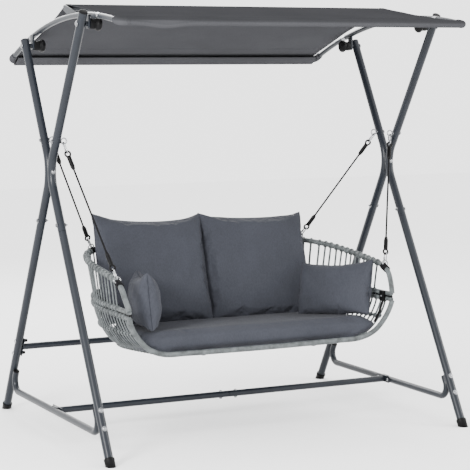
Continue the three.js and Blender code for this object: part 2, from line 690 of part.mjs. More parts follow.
function seatWeave() {
  const plan = splinePoints(seamPoints(0), 32).map((p) => new THREE.Vector2(p.x * 0.996, p.y - 1));
  const footprint = new THREE.ExtrudeGeometry(new THREE.Shape(plan), { depth: 600, bevelEnabled: false });
  const wallTop = SEAM_LOWER - SEAM_TUBE - GAP;
  const wall = planWall(WEAVE / 2, WEAVE, 280, wallTop, -300);
  const pan = common(seatPan(), footprint);
  // Only the part of the wall that stands inside and above the pan is kept.
  const outside = new THREE.BoxGeometry(1600, 1600, 200);
  outside.translate(0, 0, -100);
  outside.rotateX(-SEAT_TILT);
  outside.translate(0, FRONT_HALF[0][1], FRONT_HALF[0][2] + 2);
  // The rear lower edge is a slanted panel, just inside the slant of the bearers.
  const panel = slanted(new THREE.BoxGeometry(1600, 260, WEAVE), WEAVE / 2);
  const behind = slanted(new THREE.BoxGeometry(1600, 900, 300), -150);
  const slant = cut(common(panel, footprint), outside);
  return trimmedUnion(joined(cut(pan, behind), slant), cut(wall, outside, behind));
}

// Moves a box onto the slant behind the pan, with its middle height above the slant's outer face.
function slanted(box, height) {
  const low = belowPan(BEARER.turnY);
  box.translate(0, 0, BEARER.radius + 1 + height);
  box.rotateX(Math.atan2(BEARER.riseZ - low, BEARER.rearY - BEARER.turnY));
  box.translate(0, (BEARER.turnY + BEARER.rearY) / 2, (low + BEARER.riseZ) / 2);
  return box;
}

function trimmedUnion(pan, wall) {
  const cap = block(v3(-900, -900, SEAM_LOWER - SEAM_TUBE - GAP), v3(900, 900, 900));
  const rearOnly = block(v3(-900, -900, 0), v3(900, 60, 900));
  return cut(joined(pan, cut(wall, rearOnly)), cap);
}

function belowPan(y) {
  return FRONT_HALF[0][2] - Math.tan(SEAT_TILT) * (y - FRONT_HALF[0][1]) - BEARER.drop;
}

// A bearer runs back under the pan and rises behind it on a slant that swings clear of the crossbar.
function bearer(x) {
  const frontY = FRONT_HALF[0][1];
  const points = [
    v3(x, frontY + 2, FRONT_HALF[0][2] - 1),
    v3(x, frontY + BEARER.lead, belowPan(frontY + BEARER.lead)),
    v3(x, BEARER.turnY, belowPan(BEARER.turnY)),
    v3(x, BEARER.rearY, BEARER.riseZ),
    v3(x, BEARER.rearY, SEAM_LOWER - 6),
    v3(x, SEAM_HALF[0][1], SEAM_LOWER),
  ];
  return tube(filleted(points, [20, 20, 20, 6], 2), BEARER.radius, 0, 6);
}

function seatFrame() {
  const seam = tube(splinePoints(seamPoints(SEAM_LOWER), 24), SEAM_TUBE, 0, 6);
  const front = tube(panSection, RIM_TUBE, 0, 8);
  return joined(seam, front, bearer(-BEARER.x), bearer(BEARER.x));
}
add('basket_seat_frame', seatFrame(), wicker);
add('basket_seat_weave', seatWeave(), wicker);

// ---------------------------------------------------------------- cushions
function roundedRect(width, height, radius) {
  const x = width / 2 - radius;
  const y = height / 2 - radius;
  const shape = new THREE.Shape();
  shape.absarc(x, y, radius, 0, Math.PI / 2);
  shape.absarc(-x, y, radius, Math.PI / 2, Math.PI);
  shape.absarc(-x, -y, radius, Math.PI, 1.5 * Math.PI);
  shape.absarc(x, -y, radius, 1.5 * Math.PI, 2 * Math.PI);
  return shape;
}

// A pillow that is width x height seen from the front and thickness deep at its middle.
function pillow(width, height, thickness) {
  const taper = Math.min(width, height) * 0.16;
  const edge = thickness * 0.3;
  const body = new THREE.ExtrudeGeometry(roundedRect(width - 2 * taper, height - 2 * taper, taper * 0.4), {
    depth: edge,
    curveSegments: 2,
    bevelEnabled: true,
    bevelThickness: (thickness - edge) / 2,
    bevelSize: taper,
    bevelSegments: 2,
  });
  body.translate(0, 0, -edge / 2);
  body.rotateX(Math.PI / 2);
  return body;
}

function planPrism(scale) {
  const plan = splinePoints(seamPoints(0), 32).map((p) => new THREE.Vector2(p.x * scale, p.y * scale));
  return new THREE.ExtrudeGeometry(new THREE.Shape(plan), { depth: 600, bevelEnabled: false });
}

function seatCushion() {
  const half = [[0, 383], [330, 384], [455, 388], [515, 410], [552, 440], [548, 452], [500, 458], [0, 460]];
  const left = half.slice(1, -1).map(([x, z]) => new THREE.Vector2(-x, z)).reverse();
  const shape = new THREE.Shape([...half.map(([x, z]) => new THREE.Vector2(x, z)), ...left]);
  const cushion = new THREE.ExtrudeGeometry(shape, { depth: 620, bevelEnabled: false });
  cushion.applyMatrix4(new THREE.Matrix4().makeBasis(v3(-1, 0, 0), v3(0, 0, 1), v3(0, 1, 0)));
  cushion.translate(0, 0, -383);
  cushion.rotateX(-SEAT_TILT);
  cushion.translate(0, -338, 379);
  return common(cushion, planPrism(0.955));
}
add('seat_cushion', seatCushion(), cushionCloth);

// Where each loose pillow rests: turned about the vertical, then leaning back, then rolled in its own plane.
const PILLOWS = [
  { name: 'left_back_cushion', size: [500, 500, 150], at: [-252, 207, 662], turn: 0, lean: 22, roll: 2.5 },
  { name: 'right_back_cushion', size: [500, 480, 150], at: [252, 203, 654], turn: 0, lean: 20, roll: 1.5 },
  { name: 'left_arm_cushion', size: [385, 235, 120], at: [-443, -121, 565], turn: 74, lean: 4.6, roll: 5 },
  { name: 'right_arm_cushion', size: [385, 235, 110], at: [471, -112, 559], turn: -66, lean: 15, roll: -6 },
];
for (const { name, size, at, turn, lean, roll } of PILLOWS) {
  const cushion = add(name, pillow(...size), cushionCloth);
  const degrees = THREE.MathUtils.degToRad;
  cushion.position.set(...at);
  cushion.rotation.set(degrees(-lean), degrees(roll), degrees(turn), 'ZXY');
}

// ---------------------------------------------------------------- origin
// The origin is the middle of the box on the ground.
swing.updateMatrixWorld(true);
const bounds = new THREE.Box3().setFromObject(swing, true);
swing.position.y = -(bounds.min.y + bounds.max.y) / 2;
swing.updateMatrixWorld(true);

export default swing;
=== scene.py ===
import math

import bmesh
import bpy
import numpy as np
from mathutils import Matrix, Vector, noise
from mathutils.bvhtree import BVHTree


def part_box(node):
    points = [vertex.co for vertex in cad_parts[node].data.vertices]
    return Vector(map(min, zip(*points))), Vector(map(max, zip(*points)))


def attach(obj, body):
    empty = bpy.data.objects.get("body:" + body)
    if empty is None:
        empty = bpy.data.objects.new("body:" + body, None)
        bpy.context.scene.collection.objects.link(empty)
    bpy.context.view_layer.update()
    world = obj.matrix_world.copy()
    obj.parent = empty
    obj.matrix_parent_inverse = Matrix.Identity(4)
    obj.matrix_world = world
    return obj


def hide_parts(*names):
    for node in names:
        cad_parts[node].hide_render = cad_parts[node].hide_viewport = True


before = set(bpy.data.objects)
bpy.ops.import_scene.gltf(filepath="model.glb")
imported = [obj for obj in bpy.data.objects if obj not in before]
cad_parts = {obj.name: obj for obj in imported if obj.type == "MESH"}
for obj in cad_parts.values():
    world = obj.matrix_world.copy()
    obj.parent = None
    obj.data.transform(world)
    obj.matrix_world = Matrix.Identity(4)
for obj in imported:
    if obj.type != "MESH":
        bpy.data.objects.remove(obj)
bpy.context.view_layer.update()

SIDES = (("left", -1.0), ("right", 1.0))
ENDS = (("front", -1.0), ("rear", 1.0))

leg_low, leg_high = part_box("right_front_leg")
HALF_WIDTH = (leg_low.x + leg_high.x) / 2
WAIST_Y = (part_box("left_front_post")[1].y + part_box("left_rear_post")[0].y) / 2

TUBE = 0.0175
FOOT_REACH = 0.637
WAIST_HEIGHT = 1.110
OVERSHOOT = 0.0059
POST_GAP = 0.0004
POST_TOP = {"rear": (0.300, 1.656), "front": (0.408, 1.756)}
LEG_SEAM = 1.004
SPLICE_BOLT = 0.032
FOOT_BOLTS = (0.150, 0.226)
WASHER_GAP = 0.0004
PLATE = 0.003
BAR = 0.014
BAR_END_RISE = 0.103
BAR_END_BEND = 0.045
BAR_INSET = 0.032
BAR_HEIGHT = 0.105
CROSSBAR_HEIGHT = 0.308
EYE_HEIGHT = 1.238
EYE_RING = 0.012
KNOB_HEIGHT = {"rear": 1.631, "front": 1.708}
KNOB_FACE = 0.727
BOLT_TIP = 0.744
TAB = 0.008

RAIL_X = 0.768
RAIL_TUBE = 0.011
REAR_BAR = np.array([0.612, 1.570])
RIDGE_BAR = np.array([-0.057, 1.782])
FRONT_BAR = np.array([-0.688, 1.707])
RAIL_RISE = 0.095
RAIL_START = 0.235
RAIL_END = 0.83
CORNER_SHARE = 0.045
CORNER_RADIUS = 0.028

RIM_TUBE = 0.0115
SEAM_TUBE = 0.010
SEAM_UPPER = 0.553
SEAM_LOWER = 0.529
SEAT_TILT = math.radians(5)
WRAP_PITCH = 0.0075
STRAND = 0.0026
STRAND_SPACING = 0.036
REAR_RAIL_Y = 0.300
REAR_KNEE = 0.410
BEARER = {"x": 0.260, "radius": 0.008, "drop": 0.009, "lead": 0.038, "turn": 0.296, "rear": 0.392,
          "rise": 0.400}
BEARER_FILLETS = [0.020, 0.020, 0.020, 0.006]
PAIR = 0.0026
LOOP_WIRE = 0.0034
LOOP_OVER = 0.0012
UPPER_FRONT = -0.262
FIRST_STRAND = -0.318
LAST_STRAND = 0.286
STRAND_GAPS = 17
# Where the two long rails under the seat cross each strand, as a share of its half width.
RAIL_SHARES = {"side": 0.952, "under": 0.80}

# Half of the top rim, from the middle of the back to the front end of the right side.
RIM_HALF = [
    (0, 0.376, 0.747), (0.190, 0.376, 0.747), (0.345, 0.369, 0.745), (0.467, 0.341, 0.741),
    (0.550, 0.262, 0.731), (0.597, 0.146, 0.719), (0.617, 0.036, 0.706), (0.623, -0.070, 0.695),
    (0.624, -0.170, 0.684), (0.626, -0.257, 0.671), (0.627, -0.315, 0.645), (0.622, -0.350, 0.596),
    (0.615, -0.371, SEAM_UPPER),
]
# Half of the plan of the seam between the two halves of the basket.
SEAM_HALF = [
    (0, 0.376), (0.190, 0.376), (0.337, 0.367), (0.445, 0.334), (0.520, 0.257), (0.567, 0.150),
    (0.591, 0.060), (0.602, -0.030), (0.607, -0.110), (0.609, -0.200), (0.612, -0.300), (0.615, -0.371),
]
# Half of the front rim of the seat, from the middle of the front edge up to the seam.
FRONT_HALF = [
    (0, -0.352, 0.363), (0.180, -0.352, 0.364), (0.350, -0.354, 0.366), (0.464, -0.358, 0.371),
    (0.534, -0.364, 0.400), (0.588, -0.366, 0.460), (0.612, -0.368, 0.510), (0.615, -0.371, SEAM_LOWER),
]


# ------------------------------------------------------------------ vectors and paths
def row(x, y, z):
    """A point given from the waist plane, in the part's own frame."""
    return np.array([x, y + WAIST_Y, z], float)


def unit(v):
    return np.asarray(v, float) / np.linalg.norm(v)


X, Y, Z = np.eye(3)


def facing(v, way):
    """The vector, turned round if it points away from the given way."""
    return v if v @ np.asarray(way) > 0 else -v


def blended(a, b, start, end, t):
    """Between a, held at start, and b, held at end, in proportion to t."""
    return (a * (end - t) + b * (t - start)) / (end - start)


def spline(points, count):
    """Evenly spaced points on a centripetal Catmull-Rom curve."""
    p = [np.asarray(q, float) for q in points]
    p = [2 * p[0] - p[1], *p, 2 * p[-1] - p[-2]]
    out = []
    for i in range(1, len(p) - 2):
        a, b, c, d = p[i - 1:i + 3]
        ta = 0.0
        tb = ta + max(np.linalg.norm(b - a), 1e-9) ** 0.5
        tc = tb + max(np.linalg.norm(c - b), 1e-9) ** 0.5
        td = tc + max(np.linalg.norm(d - c), 1e-9) ** 0.5
        for t in np.linspace(tb, tc, 24, endpoint=False):
            ab, bc, cd = blended(a, b, ta, tb, t), blended(b, c, tb, tc, t), blended(c, d, tc, td, t)
            out.append(blended(blended(ab, bc, ta, tc, t), blended(bc, cd, tb, td, t), tb, tc, t))
    out.append(p[-2])
    return evenly(np.array(out), count)


def evenly(points, count):
    """The same line with count + 1 points at equal distances."""
    points = np.asarray(points, float)
    run = np.concatenate([[0], np.cumsum(np.linalg.norm(np.diff(points, axis=0), axis=1))])
    at = np.linspace(0, run[-1], count + 1)
    return np.stack([np.interp(at, run, points[:, k]) for k in range(3)], axis=1)


def length_of(points):
    return float(np.linalg.norm(np.diff(points, axis=0), axis=1).sum())


def filleted(points, radii, steps):
    """Rounds the corners of a polyline."""
    out = [points[0]]
    for i, radius in enumerate(radii, start=1):
        back = unit(points[i - 1] - points[i])
        ahead = unit(points[i + 1] - points[i])
        half = math.acos(float(np.clip(back @ ahead, -1, 1))) / 2
        centre = points[i] + unit(back + ahead) * radius / math.sin(half)
        start = points[i] + back * radius / math.tan(half) - centre
        end = points[i] + ahead * radius / math.tan(half) - centre
        turn = math.acos(float(np.clip(unit(start) @ unit(end), -1, 1)))
        for k in range(steps + 1):
            a = turn * k / steps
            out.append(centre + (start * math.sin(turn - a) + end * math.sin(a)) / math.sin(turn))
    out.append(points[-1])
    return np.array(out)


def frames_along(points, closed=False, side=None):
    """Tangents and two cross directions at each point, turning as little as they can."""
    points = np.asarray(points, float)
    if closed:
        tangents = np.roll(points, -1, 0) - np.roll(points, 1, 0)
    else:
        tangents = np.gradient(points, axis=0)
    tangents /= np.linalg.norm(tangents, axis=1)[:, None]
    if side is None:
        side = X if abs(tangents[0] @ X) < 0.8 else Y
    sides = []
    for t in tangents:
        side = unit(side - t * (side @ t))
        sides.append(side)
    sides = np.array(sides)
    return tangents, sides, np.cross(tangents, sides)


def circle(radius, sides):
    angles = 2 * math.pi * np.arange(sides) / sides
    return np.stack([np.cos(angles), np.sin(angles)], axis=1) * radius


def rounded_rect(width, height, radius, steps=4):
    out = []
    for sx, sy, start in ((1, 1, 0), (-1, 1, 90), (-1, -1, 180), (1, -1, 270)):
        for k in range(steps + 1):
            a = math.radians(start + 90 * k / steps)
            out.append((sx * (width / 2 - radius) + radius * math.cos(a),
                        sy * (height / 2 - radius) + radius * math.sin(a)))
    return np.array(out)


class Shape:
    """Collects closed solids that will be one mesh."""

    def __init__(self):
        self.blocks = []
        self.faces = []
        self.count = 0

    def rings(self, rows, closed=False):
        rows = np.asarray(rows, float)
        m, n, _ = rows.shape
        base = self.count
        self.blocks.append(rows.reshape(-1, 3))
        self.count += m * n
        for i in range(m if closed else m - 1):
            a = base + i * n
            b = base + ((i + 1) % m) * n
            self.faces += [(a + j, a + (j + 1) % n, b + (j + 1) % n, b + j) for j in range(n)]
        if not closed:
            self.faces.append(tuple(range(base + n - 1, base - 1, -1)))
            self.faces.append(tuple(range(base + (m - 1) * n, base + m * n)))
        return self

    def sweep(self, points, radius, sides=24, closed=False, profile=None, side=None):
        """A tube, or a bar of the given profile, along the points; radius may differ at each point."""
        points = np.asarray(points, float)
        _, across, up = frames_along(points, closed, side)
        ring = circle(1.0, sides) if profile is None else np.asarray(profile)
        scale = np.broadcast_to(np.asarray(radius, float), (len(points),))[:, None, None]
        rows = points[:, None] + scale * (
            across[:, None] * ring[None, :, :1] + up[:, None] * ring[None, :, 1:])
        return self.rings(rows, closed)

    def turned(self, profile, origin, direction, sides=32):
        """Turns a [radius, distance] profile about a line."""
        d = unit(direction)
        across = unit(np.cross(d, Z if abs(d[2]) < 0.9 else X))
        up = np.cross(d, across)
        ring = circle(1.0, sides)
        rows = [np.asarray(origin) + d * dist + max(r, 1e-4) * (
            across * ring[:, :1] + up * ring[:, 1:]) for r, dist in profile]
        return self.rings(rows)

    def prism(self, outline, origin, ax, ay, depth, chamfer=0.0006):
        """A plate: the outline in the plane of ax and ay, depth thick, with chamfered edges."""
        outline = np.asarray(outline, float)
        centre = outline.mean(0)
        arm = outline - centre
        inset = centre + arm * (1 - chamfer / np.linalg.norm(arm, axis=1))[:, None]
        az = np.cross(ax, ay)
        rows = []
        for line, d in ((inset, 0), (outline, chamfer), (outline, depth - chamfer), (inset, depth)):
            rows.append(np.asarray(origin) + line[:, :1] * ax + line[:, 1:] * ay + az * d)
        return self.rings(rows)

    def wrapped(self, points, radius, pitch=WRAP_PITCH, sides=14, groove=0.0011):
        """A core tube wound with one flat strand; the strand's turns meet in fine grooves."""
        line = evenly(points, max(8, int(length_of(points) / 0.004)))
        total = length_of(line)
        _, across, up = frames_along(line)
        run = np.linspace(0, total, len(line))
        turns = int(total / pitch)
        step = np.arange(turns * sides + 1)
        angle = 2 * math.pi * step / sides
        rows = []
        for share, drop in ((0.0, groove), (0.12, 0.25 * groove), (0.5, 0.0), (0.88, 0.25 * groove)):
            at = np.minimum((step / sides + share) * total / (turns + 1), total)
            spot = [np.stack([np.interp(at, run, part[:, k]) for k in range(3)], axis=1)
                    for part in (line, across, up)]
            rows.append(spot[0] + (radius - drop) * (
                spot[1] * np.cos(angle)[:, None] + spot[2] * np.sin(angle)[:, None]))
        base = self.count
        n = len(step)
        self.blocks.append(np.concatenate(rows))
        self.count += 4 * n
        for k in range(3):
            a, b = base + k * n, base + (k + 1) * n
            self.faces += [(a + j, a + j + 1, b + j + 1, b + j) for j in range(n - 1)]
        a, b = base + 3 * n, base
        self.faces += [(a + j, a + j + 1, b + j + 1 + sides, b + j + sides) for j in range(n - 1 - sides)]
        self.faces.append(tuple(base + j for j in range(sides - 1, -1, -1)))
        self.faces.append(tuple(base + 3 * n + j for j in range(n - sides, n)))
        return self

    def piece(self, name, material, body, slot, nodes=(), sharp=32):
        mesh = bpy.data.meshes.new(name)
        mesh.from_pydata(np.concatenate(self.blocks).tolist(), [], self.faces)
        smooth_shaded(mesh)
        mesh.set_sharp_from_angle(angle=math.radians(sharp))
        return placed(name, mesh, material, body, nodes)


def smooth_shaded(mesh):
    mesh.polygons.foreach_set("use_smooth", [True] * len(mesh.polygons))


def placed(name, mesh, material, body, nodes=()):
    mesh.materials.clear()
    mesh.materials.append(material)
    obj = bpy.data.objects.new(name, mesh)
    bpy.context.scene.collection.objects.link(obj)
    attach(obj, body)
    if nodes:
        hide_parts(*nodes)
    return obj


# ------------------------------------------------------------------ camera, floor and light
CAMERA_PLACE = (-3.17455, -6.62045, 1.53592)
CAMERA_TURN = (25.885, 5.668, -0.2685)
CAMERA_LENS = 129.46
WORLD_STRENGTH = 2.8
LIGHT_TARGET = Vector((0, 0, 0.9))
# Each area light: name, place, size and power.
LIGHTS = [
    ("key", (-4.8, -3.2, 2.4), 1.6, 480),
    ("fill", (4.4, -2.4, 2.6), 1.8, 150),
    ("back", (0.5, 4.5, 3.6), 2.2, 150),
]


def make_camera():
    azimuth, pitch, roll = (math.radians(a) for a in CAMERA_TURN)
    right = np.array([math.cos(azimuth), -math.sin(azimuth), 0])
    ahead = np.array([math.sin(azimuth) * math.cos(pitch), math.cos(azimuth) * math.cos(pitch),
                      -math.sin(pitch)])
    up = np.cross(right, ahead)
    across = math.cos(roll) * right + math.sin(roll) * up
    above = -math.sin(roll) * right + math.cos(roll) * up
    camera = bpy.data.objects.new("camera", bpy.data.cameras.new("camera"))
    camera.matrix_world = Matrix.Translation(Vector(row(*CAMERA_PLACE))) @ Matrix(
        [[across[k], above[k], -ahead[k]] for k in range(3)]).to_4x4()
    camera.data.lens = CAMERA_LENS
    camera.data.sensor_width = 36
    bpy.context.scene.collection.objects.link(camera)
    bpy.context.scene.camera = camera


def make_stage():
    mesh = bpy.data.meshes.new("floor")
    size = 14.0
    mesh.from_pydata([(-size, -size, 0), (size, -size, 0), (size, size, 0), (-size, size, 0)], [],
                     [(0, 1, 2, 3)])
    floor = bpy.data.objects.new("floor", mesh)
    bpy.context.scene.collection.objects.link(floor)
    paint = Paint("floor_white", (0.93, 0.93, 0.93), 0.9)
    mesh.materials.append(paint.material)

    world = bpy.data.worlds.new("studio")
    bpy.context.scene.world = world
    world.use_nodes = True
    background = world.node_tree.nodes["Background"]
    background.inputs["Color"].default_value = (1, 1, 1, 1)
    background.inputs["Strength"].default_value = WORLD_STRENGTH

    for name, place, size, power in LIGHTS:
        data = bpy.data.lights.new(name, "AREA")
        data.size = size
        data.energy = power
        light = bpy.data.objects.new(name, data)
        light.location = place
        light.rotation_euler = (LIGHT_TARGET - Vector(place)).to_track_quat("-Z", "Y").to_euler()
        bpy.context.scene.collection.objects.link(light)


# ------------------------------------------------------------------ materials
class Paint:
    """One procedural material around a Principled shader."""

    def __init__(self, name, colour, roughness, metallic=0.0, **sockets):
        self.material = bpy.data.materials.new(name)
        self.material.use_nodes = True
        self.tree = self.material.node_tree
        self.shader = self.tree.nodes["Principled BSDF"]
        self.shader.inputs["Base Color"].default_value = (*colour, 1)
        self.shader.inputs["Roughness"].default_value = roughness
        self.shader.inputs["Metallic"].default_value = metallic
        for socket, value in sockets.items():
            self.shader.inputs[socket.replace("_", " ")].default_value = value
        self.place = self.tree.nodes.new("ShaderNodeTexCoord").outputs["Object"]
        self.normal = None

    def node(self, kind, **settings):
        node = self.tree.nodes.new(kind)
        for key, value in settings.items():
            setattr(node, key, value)
        return node

    def link(self, source, target):
        self.tree.links.new(source, target)

    def mapped(self, scale):
        mapping = self.node("ShaderNodeMapping")
        mapping.inputs["Scale"].default_value = scale
        self.link(self.place, mapping.inputs["Vector"])
        return mapping.outputs["Vector"]

    def noise(self, scale, detail=3, stretch=(1, 1, 1)):
        node = self.node("ShaderNodeTexNoise")
        node.inputs["Scale"].default_value = scale
        node.inputs["Detail"].default_value = detail
        self.link(self.mapped(stretch), node.inputs["Vector"])
        return node.outputs["Fac"]

    def waves(self, scale, direction, distortion=0.6):
        node = self.node("ShaderNodeTexWave", wave_type="BANDS", bands_direction=direction)
        node.inputs["Scale"].default_value = scale
        node.inputs["Distortion"].default_value = distortion
        self.link(self.mapped((1, 1, 1)), node.inputs["Vector"])
        return node.outputs["Fac"]

    def mathed(self, operation, a, b):
        node = self.node("ShaderNodeMath", operation=operation)
        for source, target in ((a, node.inputs[0]), (b, node.inputs[1])):
            if isinstance(source, (int, float)):
                target.default_value = source
            else:
                self.link(source, target)
        return node.outputs[0]

    def ranged(self, source, low, high, target, start=0.3, end=0.7):
        node = self.node("ShaderNodeMapRange")
        for name, value in (("From Min", start), ("From Max", end), ("To Min", low), ("To Max", high)):
            node.inputs[name].default_value = value
        self.link(source, node.inputs["Value"])
        self.link(node.outputs["Result"], self.shader.inputs[target])
        return self

    def tinted(self, source, dark, light, start=0.3, end=0.7):
        ramp = self.node("ShaderNodeValToRGB")
        ramp.color_ramp.elements[0].position = start
        ramp.color_ramp.elements[1].position = end
        ramp.color_ramp.elements[0].color = (*dark, 1)
        ramp.color_ramp.elements[1].color = (*light, 1)
        self.link(source, ramp.inputs["Fac"])
        self.link(ramp.outputs["Color"], self.shader.inputs["Base Color"])
        return self

    def painted_shade_above(self, share):
        """Painted shade: darkens the faces that look up to the given share of their colour."""
        facing = self.node("ShaderNodeSeparateXYZ")
        self.link(self.node("ShaderNodeNewGeometry").outputs["True Normal"], facing.inputs[0])
        amount = self.node("ShaderNodeMapRange")
        for name, value in (("From Min", 0.0), ("From Max", 0.5), ("To Min", 1.0), ("To Max", share)):
            amount.inputs[name].default_value = value
        self.link(facing.outputs["Z"], amount.inputs["Value"])
        scaled = self.node("ShaderNodeVectorMath", operation="SCALE")
        target = self.shader.inputs["Base Color"]
        self.link(target.links[0].from_socket, scaled.inputs[0])
        self.link(amount.outputs["Result"], scaled.inputs["Scale"])
        self.link(scaled.outputs["Vector"], target)
        return self

    def bumped(self, source, strength, distance):
        bump = self.node("ShaderNodeBump")
        bump.inputs["Strength"].default_value = strength
        bump.inputs["Distance"].default_value = distance
        self.link(source, bump.inputs["Height"])
        if self.normal is not None:
            self.link(self.normal, bump.inputs["Normal"])
        self.normal = bump.outputs["Normal"]
        self.link(self.normal, self.shader.inputs["Normal"])
        return self


def shade(colour, factor):
    return tuple(c * factor for c in colour)


def powder_coat():
    slate = (0.0105, 0.0125, 0.0165)
    paint = Paint("powder_coat", slate, 0.3, Specular_IOR_Level=0.2)
    paint.tinted(paint.noise(7, 5), shade(slate, 0.86), shade(slate, 1.14))
    paint.ranged(paint.noise(260, 4), 0.27, 0.33, "Roughness")
    return paint.bumped(paint.noise(1100, 2), 0.08, 0.0003).material


def black_plastic():
    black = (0.0022, 0.0022, 0.0025)
    paint = Paint("black_plastic", black, 0.45, Specular_IOR_Level=0.1)
    paint.tinted(paint.noise(30, 4), shade(black, 0.8), shade(black, 1.35))
    paint.ranged(paint.noise(60, 3), 0.38, 0.54, "Roughness")
    return paint.bumped(paint.noise(1400, 2), 0.2, 0.0003).material


def bright_steel():
    zinc = (0.27, 0.275, 0.285)
    paint = Paint("bright_steel", zinc, 0.22, 1.0)
    paint.tinted(paint.noise(40, 4), shade(zinc, 0.8), shade(zinc, 1.1))
    paint.ranged(paint.noise(160, 4, (1, 1, 0.15)), 0.16, 0.34, "Roughness")
    return paint.bumped(paint.noise(600, 2), 0.06, 0.0003).material


def wicker_resin():
    grey = (0.072, 0.080, 0.082)
    paint = Paint("wicker_resin", grey, 0.48, Specular_IOR_Level=0.25)
    paint.tinted(paint.noise(38, 6), shade(grey, 0.50), shade(grey, 1.40))
    paint.ranged(paint.noise(70, 3), 0.40, 0.58, "Roughness")
    return paint.bumped(paint.noise(800, 3, (1, 1, 0.2)), 0.3, 0.0006).material


def rope_fibre():
    black = (0.0025, 0.0025, 0.003)
    paint = Paint("rope_fibre", black, 0.75, Specular_IOR_Level=0.1, Sheen_Weight=0.02, Sheen_Roughness=0.5)
    paint.tinted(paint.noise(120, 4), shade(black, 0.7), shade(black, 1.9))
    return paint.bumped(paint.waves(300, "DIAGONAL", distortion=1.5), 0.4, 0.0006).material


def woven_cloth(name, colour, thread, mottling, sheen, above=None):
    """Plain weave: two crossing sets of threads, with slubs and a faint mottled dye."""
    paint = Paint(name, colour, 0.86, Specular_IOR_Level=2 * sheen, Sheen_Weight=sheen,
                  Sheen_Roughness=0.45)
    large = paint.noise(3.5, 4)
    small = paint.noise(240, 3, (1, 1, 0.35))
    both = paint.mathed("ADD", paint.mathed("MULTIPLY", large, 0.55), paint.mathed("MULTIPLY", small, 0.45))
    paint.tinted(both, shade(colour, 1 - mottling), shade(colour, 1 + mottling), 0.35, 0.65)
    # Painted shade: when above is given, the faces that look up are darkened to that share of the colour.
    if above is not None:
        paint.painted_shade_above(above)
    weft = paint.waves(thread, "X")
    warp = paint.waves(thread, "Z")
    weave = paint.mathed("MAXIMUM", weft, warp)
    return paint.bumped(weave, 0.35, 0.0005).bumped(paint.noise(34, 4), 0.18, 0.003).material


# ------------------------------------------------------------------ fasteners
def hex_head(shape, point, direction, radius=0.0075, height=0.005):
    """A bolt head or nut on a washer, standing out from point along direction."""
    shape.turned([(radius * 1.35, 0), (radius * 1.35, 0.0012)], point, direction, 20)
    base = np.asarray(point) + unit(direction) * 0.0012
    shape.turned([(radius * 0.97, 0), (radius, 0.0006), (radius, height - 0.0008),
                  (radius * 0.86, height)], base, direction, 6)


def dome_head(shape, point, direction, radius=0.0085, height=0.006):
    shape.turned([(radius * 1.25, 0), (radius * 1.25, 0.001), (radius, 0.001), (radius * 0.96, height * 0.45),
                  (radius * 0.75, height * 0.8), (radius * 0.4, height * 0.97), (0, height)],
                 point, direction, 20)


def screw_end(shape, point, direction, radius=0.003, length=0.006):
    shape.turned([(radius, 0), (radius, length - 0.0008), (radius * 0.75, length)], point, direction, 12)


# ------------------------------------------------------------------ posts and legs
def post_line(sx, end, ey):
    reach, height = POST_TOP[end]
    return (row(sx * HALF_WIDTH, ey * FOOT_REACH, 0), row(sx * HALF_WIDTH, -ey * OVERSHOOT, WAIST_HEIGHT),
            row(sx * HALF_WIDTH, ey * reach, height))


def waist_bend(foot, waist, top):
    """The bend radius that brings the tube just up to the waist plane."""
    below = math.atan2(abs((foot - waist)[1]), abs((foot - waist)[2]))
    above = math.atan2(abs((top - waist)[1]), abs((top - waist)[2]))
    inset = TUBE + POST_GAP + OVERSHOOT
    return inset / (math.cos((above - below) / 2) / math.cos((above + below) / 2) - 1)


def upper_at(line, height):
    _, waist, top = line
    return waist + (top - waist) * (height - waist[2]) / (top[2] - waist[2])


def make_posts():
    for side, sx in SIDES:
        hardware = Shape()
        for end, ey in ENDS:
            line = post_line(sx, end, ey)
            foot, waist, top = line
            axis = unit(waist - foot)
            label = f"{side}_{end}"
            leg = Shape().turned([(TUBE - 0.004, 0.016), (TUBE, 0.016), (TUBE, LEG_SEAM - 0.0012),
                                  (TUBE - 0.0012, LEG_SEAM), (0.015, LEG_SEAM), (0.015, LEG_SEAM + 0.05)],
                                 foot, axis, 40)
            leg.piece(f"{label}_leg_tube", POWDER, "frame", "frame_steel", [f"{label}_leg"])

            upward = unit(top - waist)
            tube_top = top - upward * 0.005
            path = filleted([foot + axis * (LEG_SEAM + POST_GAP), waist, tube_top],
                            [waist_bend(foot, waist, top)], 20)
            Shape().sweep(path, TUBE, 40, side=X).piece(
                f"{label}_post_tube", POWDER, "frame", "frame_steel", [f"{label}_post"])

            Shape().turned([(0.0148, -0.012), (0.0148, 0.0003), (TUBE, 0.0004), (TUBE + 0.0004, 0.0016),
                            (TUBE - 0.0002, 0.0036), (0.0145, 0.0056), (0.009, 0.0067), (0, 0.0070)],
                           tube_top, upward, 40).piece(
                f"{label}_post_plug", BLACK, "frame", "black_plastic", [f"{label}_post_cap"])
            make_foot(label, foot, axis)

            splice = foot + axis * (LEG_SEAM + SPLICE_BOLT)
            hex_head(hardware, splice + sx * X * TUBE, sx * X)
            screw_end(hardware, splice - sx * X * TUBE, -sx * X, 0.003, 0.011)
            hex_head(hardware, splice - sx * X * TUBE, -sx * X, 0.0065, 0.0048)
            for distance in FOOT_BOLTS:
                bolt = foot + axis * distance
                outward = facing(unit(np.cross(X, axis)), ey * Y)
                dome_head(hardware, bolt + outward * TUBE, outward)
        make_waist_joint(side, sx, hardware)
        hardware.piece(f"{side}_frame_bolts", STEEL, "frame", "bright_steel")


